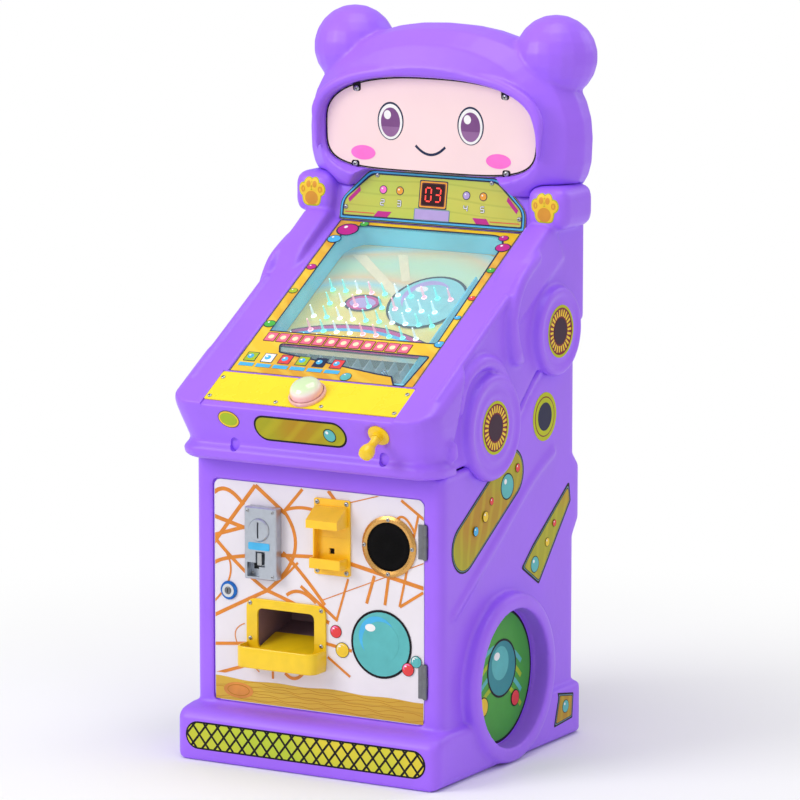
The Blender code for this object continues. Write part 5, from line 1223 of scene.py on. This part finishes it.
def make_stickers():
    lower = surface_of(bpy.data.objects["skin_lower"])
    upper = surface_of(bpy.data.objects["skin_upper"])
    for side, word in ((1, "right"), (-1, "left")):
        place = facing_side(side, SIDE_WALL)

        def lay(name, tree, layers, cell=0.007):
            flipped = [(look, [sided(side, outline) for outline in outlines]) for look, outlines in layers]
            return sticker(f"{name}_{word}", flipped, place, tree, "cabinet", cell=cell)

        def picture(name, tree, outline, border, marbles, corner=0.0, cell=0.007):
            """A sunny sticker, its print darkened with painted shade, in a black border, with printed
            marbles.
            """
            layers = [(look, [rounded(grown(outline, -less), corner)] if corner else [grown(outline, -less)])
                      for look, less in (("ink_black", 0), ("ink_slate", border),
                                         ("ink_black", border + 0.0014),
                                         ("sticker_vinyl_painted_shade", border + 0.0026))]
            for look, y, z, radius in marbles:
                layers += [("ink_black", [disc(y, z, radius)]), (look, [disc(y, z, radius * 0.90)]),
                           ("ink_white", [disc(y - radius * 0.3, z + radius * 0.4, radius * 0.2)])]
            lay(name, tree, layers, cell)

        picture("board_sticker", lower, stadium((-.1464, .402), (.0200, .505), .044), .0030,
                (("ink_teal", .004, .485, .0235), ("ink_red", -.052, .468, .0070),
                 ("ink_red", .040, .512, .0080), ("ink_gold", -.075, .445, .0100),
                 ("ink_sky", -.110, .425, .0085)))
        arrow = [(.2317, .458), (.2377, .422), (.1207, .292), (.0567, .331), (.0967, .365)]
        picture("arrow_sticker", lower, arrow, .0035,
                (("ink_teal", .105, .330, .0150), ("ink_gold", .150, .362, .0080),
                 ("ink_red", .175, .392, .0065)), 0.005)
        quad = [(.1690, .0880), (.2227, .0790), (.2187, .034), (.1500, .029)]
        picture("corner_sticker", lower, quad, .0030, (("ink_teal", .192, .060, .0120),), 0.003)
        for index, (y, z) in enumerate(((-.0624, .599), (.1697, .735))):
            rays = [ribbon([(y + .0262 * math.cos(a), z + .0262 * math.sin(a)),
                            (y + .0385 * math.cos(a), z + .0385 * math.sin(a))], .0042)
                    for a in (2 * math.pi * step / 26 for step in range(26))]
            lay(f"sunflower_{index}", upper,
                [("ink_ring_lime", [disc(y, z, .0465)]), ("ink_ring_maroon", [disc(y, z, .0415)]),
                 ("ink_gold", rays), ("ink_plum", [disc(y, z, .0235)])], 0.010)
        y, z = .1397, .587
        rings = (("ink_ring_lime", .0430), ("ink_ring_maroon", .0355), ("ink_ring_lime", .0335),
                 ("ink_ring_navy", .0250))
        lay("navy_disc", lower, [(look, [disc(y, z, radius)]) for look, radius in rings], 0.012)
        y, z = WHEEL_Y, WHEEL_Z
        swirl = [ribbon(bezier((y - .082, z - .03 + row * .026), (y, z + .05 + row * .02),
                               (y + .082, z - .04 + row * .026)), .0085) for row in (-1, 0, 1, 2)]
        lay("wheel_sticker", lower,
            [("ink_black", [disc(y, z, .1195, count=64)]), ("ink_wheel_green", [disc(y, z, .1145, count=64)]),
             ("ink_lime", swirl[::2]), ("ink_teal", swirl[1::2]),
             ("ink_black", [disc(y + .012, z + .012, .052, count=48)]),
             ("ink_deep_teal", [disc(y + .012, z + .012, .048, count=48)]),
             ("ink_teal", [disc(y + .006, z + .022, .030, count=40)]),
             ("ink_white", [disc(y - .006, z + .036, .010, .007)]),
             ("ink_black", [disc(y - .055, z - .045, .0180), disc(y + .060, z - .050, .0150)]),
             ("ink_gold", [disc(y - .055, z - .045, .0160)]), ("ink_red", [disc(y + .060, z - .050, .0130)])],
            0.014)
    # Front of the foot: a lattice strip; the console's nose: a long label and an oval.
    strip = stadium((-.216, .045), (.216, .045), .0245)
    sticker("lattice_strip", [("ink_black", [strip]), ("sticker_lattice_vinyl", [grown(strip, -.003)])],
            facing_front(0, -.26, 0), lower, "cabinet")
    nose = facing_front(0, -.28, 0)
    label = stadium((-.068, .602), (.068, .602), .0235)
    # The label's sunny print is the same print, darkened with painted shade.
    sticker("nose_label", [("ink_black", [label]), ("sticker_vinyl_painted_shade", [grown(label, -.0035)]),
                           ("ink_black", [disc(.058, .600, .0125)]), ("ink_teal", [disc(.058, .600, .0108)]),
                           ("ink_white", [disc(.054, .605, .0028)])], nose, upper, "cabinet")
    oval = disc(-.140, .612, .021, .016)
    sticker("nose_oval", [("ink_ring_navy", [oval]), ("ink_gold", [grown(oval, -.0012)]),
                          ("ink_lime", [grown(oval, -.0040)])], nose, upper, "cabinet")
    for side, word in ((1, "right"), (-1, "left")):
        x, z = side * .236, .9435
        toes = [(-.0175, .0115, .0068, .0092), (-.0063, .0205, .0070, .0098), (.0063, .0205, .0070, .0098),
                (.0175, .0115, .0068, .0092)]
        whole = [disc(x + dx, z + dz, a * 1.45, b * 1.35, 24) for dx, dz, a, b in toes]
        whole += [rounded([(x - .022, z + .012), (x + .022, z + .012), (x + .017, z - .0185),
                           (x - .017, z - .0185)], .012)]
        pads = [disc(x + dx, z + dz, a * .62, b * .62, 20) for dx, dz, a, b in toes]
        layers = [("ink_ring_lime", whole), ("ink_gold", [grown(shape, -.0018) for shape in whole]),
                  ("ink_paw_orange", pads + [disc(x, z - .0040, .0130, .0125)])]
        sticker(f"paw_print_{word}", layers, facing_front(0, .12, 0), upper, "cabinet")


def make_inside():
    for name, look in (("cash_box", "galvanised_sheet"), ("control_board", "green_solder_mask"),
                       ("hopper_bowl", "white_moulded_abs"), ("hopper_disc", "blue_moulded_abs"),
                       ("hopper_motor", "galvanised_sheet"), ("power_supply", "galvanised_sheet"),
                       ("shelf", "galvanised_sheet"), ("rear_cover", "galvanised_sheet"),
                       ("power_inlet", "black_moulded_abs"), ("power_rocker", "black_moulded_abs"),
                       ("power_switch_frame", "black_moulded_abs")):
        dress(name, look)
    low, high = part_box("rear_cover")
    place = moved(0, high.y, 0) @ Matrix.Rotation(math.pi, 4, "Z") @ Matrix.Rotation(QUARTER, 4, "X")
    spots = [(x, z) for x in (low.x + .010, 0, high.x - .010) for z in (low.z + .010, high.z - .010)]
    screws("rear_cover_screws", [place @ moved(x, z, 0.0) for x, z in spots], "cabinet", 0.0040)
    # The vent slots are not cut: black bars on the sheet are painted shade where the openings would be.
    bars = [rounded(box_outline(0, low.z + .055 + .016 * step, .060, .0030), .0029) for step in range(5)]
    prints("rear_cover_painted_vent_shade", [("ink_black", bars)], place, "cabinet", "grey_sheet_steel", 0.0001)


# ---------------------------------------------------------------- stage
def make_stage(sizes):
    scene = bpy.context.scene
    bm = bmesh.new()
    bmesh.ops.create_circle(bm, cap_ends=True, segments=96, radius=6.0, matrix=moved(0, 0, -0.0006))
    mesh = bpy.data.meshes.new("studio_floor")
    bm.to_mesh(mesh)
    bm.free()
    floor = bpy.data.objects.new("studio_floor", mesh)
    scene.collection.objects.link(floor)
    material = bpy.data.materials.new("studio_floor_sweep")
    material.use_nodes = True
    tree = material.node_tree
    shader = tree.nodes["Principled BSDF"]
    shader.inputs["Base Color"].default_value = (0.93, 0.93, 0.94, 1)
    shader.inputs["Roughness"].default_value = 0.7
    shader.inputs["Specular IOR Level"].default_value = 0.1
    coords = node(tree, "ShaderNodeTexCoord").outputs["Object"]
    away = node(tree, "ShaderNodeVectorMath", {0: coords}, operation="LENGTH")
    share = node(tree, "ShaderNodeMapRange",
                 {"Value": away.outputs["Value"], "From Min": 0.45, "From Max": 1.7},
                 interpolation_type="SMOOTHSTEP")
    white = node(tree, "ShaderNodeEmission", {"Color": (1, 1, 1, 1), "Strength": 1.0})
    mix = node(tree, "ShaderNodeMixShader", {0: share.outputs[0], 1: shader.outputs[0], 2: white.outputs[0]})
    tree.links.new(mix.outputs[0], tree.nodes["Material Output"].inputs["Surface"])
    mesh.materials.append(material)

    world = bpy.data.worlds.new("studio_world")
    world.use_nodes = True
    tree = world.node_tree
    tree.nodes.clear()
    out = node(tree, "ShaderNodeOutputWorld")
    path = node(tree, "ShaderNodeLightPath")
    seen = node(tree, "ShaderNodeMath", {0: path.outputs["Is Camera Ray"],
                                         1: path.outputs["Is Transmission Ray"]}, operation="MAXIMUM")
    strength = node(tree, "ShaderNodeMapRange", {"Value": seen.outputs[0], "To Min": sizes.ambient,
                                                 "To Max": 1.0})
    shine = node(tree, "ShaderNodeBackground", {"Color": (1, 1, 1, 1), "Strength": strength.outputs[0]})
    tree.links.new(shine.outputs[0], out.inputs["Surface"])
    scene.world = world

    for name, spot, wide, power in (("key", (-2.6, -3.6, 3.2), 2.6, sizes.key),
                                    ("fill", (3.8, -2.2, 2.0), 2.6, 14),
                                    ("top", (0.3, -0.2, 4.2), 2.2, 46),
                                    ("rim", (2.2, 3.6, 2.8), 2.0, 22)):
        light = bpy.data.lights.new(name, "AREA")
        light.shape, light.size, light.size_y, light.energy = "RECTANGLE", wide, wide, power
        lamp = bpy.data.objects.new(name, light)
        lamp.location = spot
        lamp.rotation_euler = (Vector((0, 0, 0.65)) - Vector(spot)).to_track_quat("-Z", "Y").to_euler()
        scene.collection.objects.link(lamp)

    camera = bpy.data.cameras.new("camera")
    camera.lens, camera.sensor_width = 225, 36
    eye = bpy.data.objects.new("camera", camera)
    target = Vector((-0.011, 0.08165, 0.603))
    turn, rise, far = math.radians(30.02), math.radians(9.63), 8.81
    eye.location = target + far * Vector((math.sin(turn) * math.cos(rise), -math.cos(turn) * math.cos(rise),
                                          math.sin(rise)))
    eye.rotation_euler = (target - eye.location).to_track_quat("-Z", "Y").to_euler()
    scene.collection.objects.link(eye)
    scene.camera = eye
    scene.view_settings.view_transform = "Standard"


# ---------------------------------------------------------------- settings, operators and panel
class CabinetColours(bpy.types.PropertyGroup):
    """Colours of the mouldings and prints, scene-linear"""
    purple: bpy.props.FloatVectorProperty(name="Mouldings", description="Purple of the rotomoulded mouldings",
                                          subtype="COLOR", size=4, min=0, max=1, default=linear("#A167F9"))
    yellow: bpy.props.FloatVectorProperty(name="Control plate", description="Lemon of the control plate",
                                          subtype="COLOR", size=4, min=0, max=1, default=linear("#FBE01C"))
    bracket: bpy.props.FloatVectorProperty(name="Bracket", description="Yellow of the payment bracket",
                                           subtype="COLOR", size=4, min=0, max=1, default=linear("#FFC81C"))
    tray: bpy.props.FloatVectorProperty(name="Prize tray", description="Yellow of the prize tray",
                                        subtype="COLOR", size=4, min=0, max=1, default=linear("#F6CC14"))
    door: bpy.props.FloatVectorProperty(name="Door", description="Off-white of the door's printed film",
                                        subtype="COLOR", size=4, min=0, max=1, default=linear("#E9E3EA"))
    web: bpy.props.FloatVectorProperty(name="Door lines", description="Orange of the lines across the door",
                                       subtype="COLOR", size=4, min=0, max=1, default=linear("#DE8420"))


class CabinetSizes(bpy.types.PropertyGroup):
    """Fineness of the skins, their ridges, and the strength of the studio light"""
    voxel: bpy.props.FloatProperty(name="Skin cell", description="Cell size of the mouldings' soft skins",
                                   subtype="DISTANCE", unit="LENGTH", min=0.002, max=0.01, default=0.0034)
    ridge: bpy.props.FloatProperty(name="Ridge", description="Radius of the raised beads on the mouldings",
                                   subtype="DISTANCE", unit="LENGTH", min=0.002, max=0.01, default=0.0055)
    triangles: bpy.props.IntProperty(name="Skin triangles", description="Most triangles in one skin",
                                     min=20000, max=190000, default=150000)
    ambient: bpy.props.FloatProperty(name="Ambient", description="Brightness of the light from all around",
                                     min=0, max=2, default=0.55)
    key: bpy.props.FloatProperty(name="Key light", description="Power of the big light at the front left",
                                 subtype="POWER", unit="POWER", min=0, max=1000, default=120)


class CABINET_OT_materials(bpy.types.Operator):
    """Make every finish"""
    bl_idname = "cabinet.materials"
    bl_label = "Materials"
    bl_options = {"REGISTER", "UNDO"}

    def execute(self, context):
        make_materials(context.scene.cabinet_colours)
        return {"FINISHED"}


class CABINET_OT_mouldings(bpy.types.Operator):
    """Skin the three purple mouldings"""
    bl_idname = "cabinet.mouldings"
    bl_label = "Mouldings"
    bl_options = {"REGISTER", "UNDO"}

    def execute(self, context):
        make_skins(context.scene.cabinet_sizes)
        return {"FINISHED"}


class CABINET_OT_door(bpy.types.Operator):
    """Print the front door and finish what it carries"""
    bl_idname = "cabinet.door"
    bl_label = "Door"
    bl_options = {"REGISTER", "UNDO"}

    def execute(self, context):
        make_door_prints()
        make_door_fittings()
        return {"FINISHED"}


class CABINET_OT_head(bpy.types.Operator):
    """Print the face and the display"""
    bl_idname = "cabinet.head"
    bl_label = "Face and display"
    bl_options = {"REGISTER", "UNDO"}

    def execute(self, context):
        make_face_panel()
        make_display_prints()
        return {"FINISHED"}


class CABINET_OT_playfield(bpy.types.Operator):
    """Print the glass and the field, and set up the lit posts"""
    bl_idname = "cabinet.playfield"
    bl_label = "Playfield"
    bl_options = {"REGISTER", "UNDO"}

    def execute(self, context):
        make_glass_print()
        make_playfield()
        return {"FINISHED"}


class CABINET_OT_console(bpy.types.Operator):
    """Finish the control plate, button and plunger"""
    bl_idname = "cabinet.console"
    bl_label = "Console"
    bl_options = {"REGISTER", "UNDO"}

    def execute(self, context):
        make_console()
        return {"FINISHED"}


class CABINET_OT_stickers(bpy.types.Operator):
    """Lay the stickers on the mouldings"""
    bl_idname = "cabinet.stickers"
    bl_label = "Stickers"
    bl_options = {"REGISTER", "UNDO"}

    def execute(self, context):
        make_stickers()
        return {"FINISHED"}


class CABINET_OT_inside(bpy.types.Operator):
    """Finish the inner and rear parts"""
    bl_idname = "cabinet.inside"
    bl_label = "Inside and rear"
    bl_options = {"REGISTER", "UNDO"}

    def execute(self, context):
        make_inside()
        return {"FINISHED"}


class CABINET_OT_stage(bpy.types.Operator):
    """Set up the floor, world, lights and camera"""
    bl_idname = "cabinet.stage"
    bl_label = "Stage"
    bl_options = {"REGISTER", "UNDO"}

    def execute(self, context):
        make_stage(context.scene.cabinet_sizes)
        return {"FINISHED"}


OPERATORS = (CABINET_OT_materials, CABINET_OT_mouldings, CABINET_OT_door, CABINET_OT_head,
             CABINET_OT_playfield, CABINET_OT_console, CABINET_OT_stickers, CABINET_OT_inside,
             CABINET_OT_stage)


class CABINET_PT_looks(bpy.types.Panel):
    """Settings and steps of the cabinet's looks"""
    bl_label = "Marble Pinball Cabinet"
    bl_idname = "CABINET_PT_looks"
    bl_space_type = "VIEW_3D"
    bl_region_type = "UI"
    bl_category = "Marbles"

    def draw(self, context):
        for group in (context.scene.cabinet_colours, context.scene.cabinet_sizes):
            for key in group.bl_rna.properties.keys():
                if key not in ("rna_type", "name"):
                    self.layout.prop(group, key)
        for operator in OPERATORS:
            self.layout.operator(operator.bl_idname)


CLASSES = (CabinetColours, CabinetSizes, *OPERATORS, CABINET_PT_looks)


def register():
    for cls in CLASSES:
        bpy.utils.register_class(cls)
    bpy.types.Scene.cabinet_colours = bpy.props.PointerProperty(type=CabinetColours)
    bpy.types.Scene.cabinet_sizes = bpy.props.PointerProperty(type=CabinetSizes)


def unregister():
    del bpy.types.Scene.cabinet_sizes
    del bpy.types.Scene.cabinet_colours
    for cls in reversed(CLASSES):
        bpy.utils.unregister_class(cls)


def main():
    register()
    for operator in OPERATORS:
        group, name = operator.bl_idname.split(".")
        getattr(getattr(bpy.ops, group), name)()


if __name__ == "__main__":
    main()
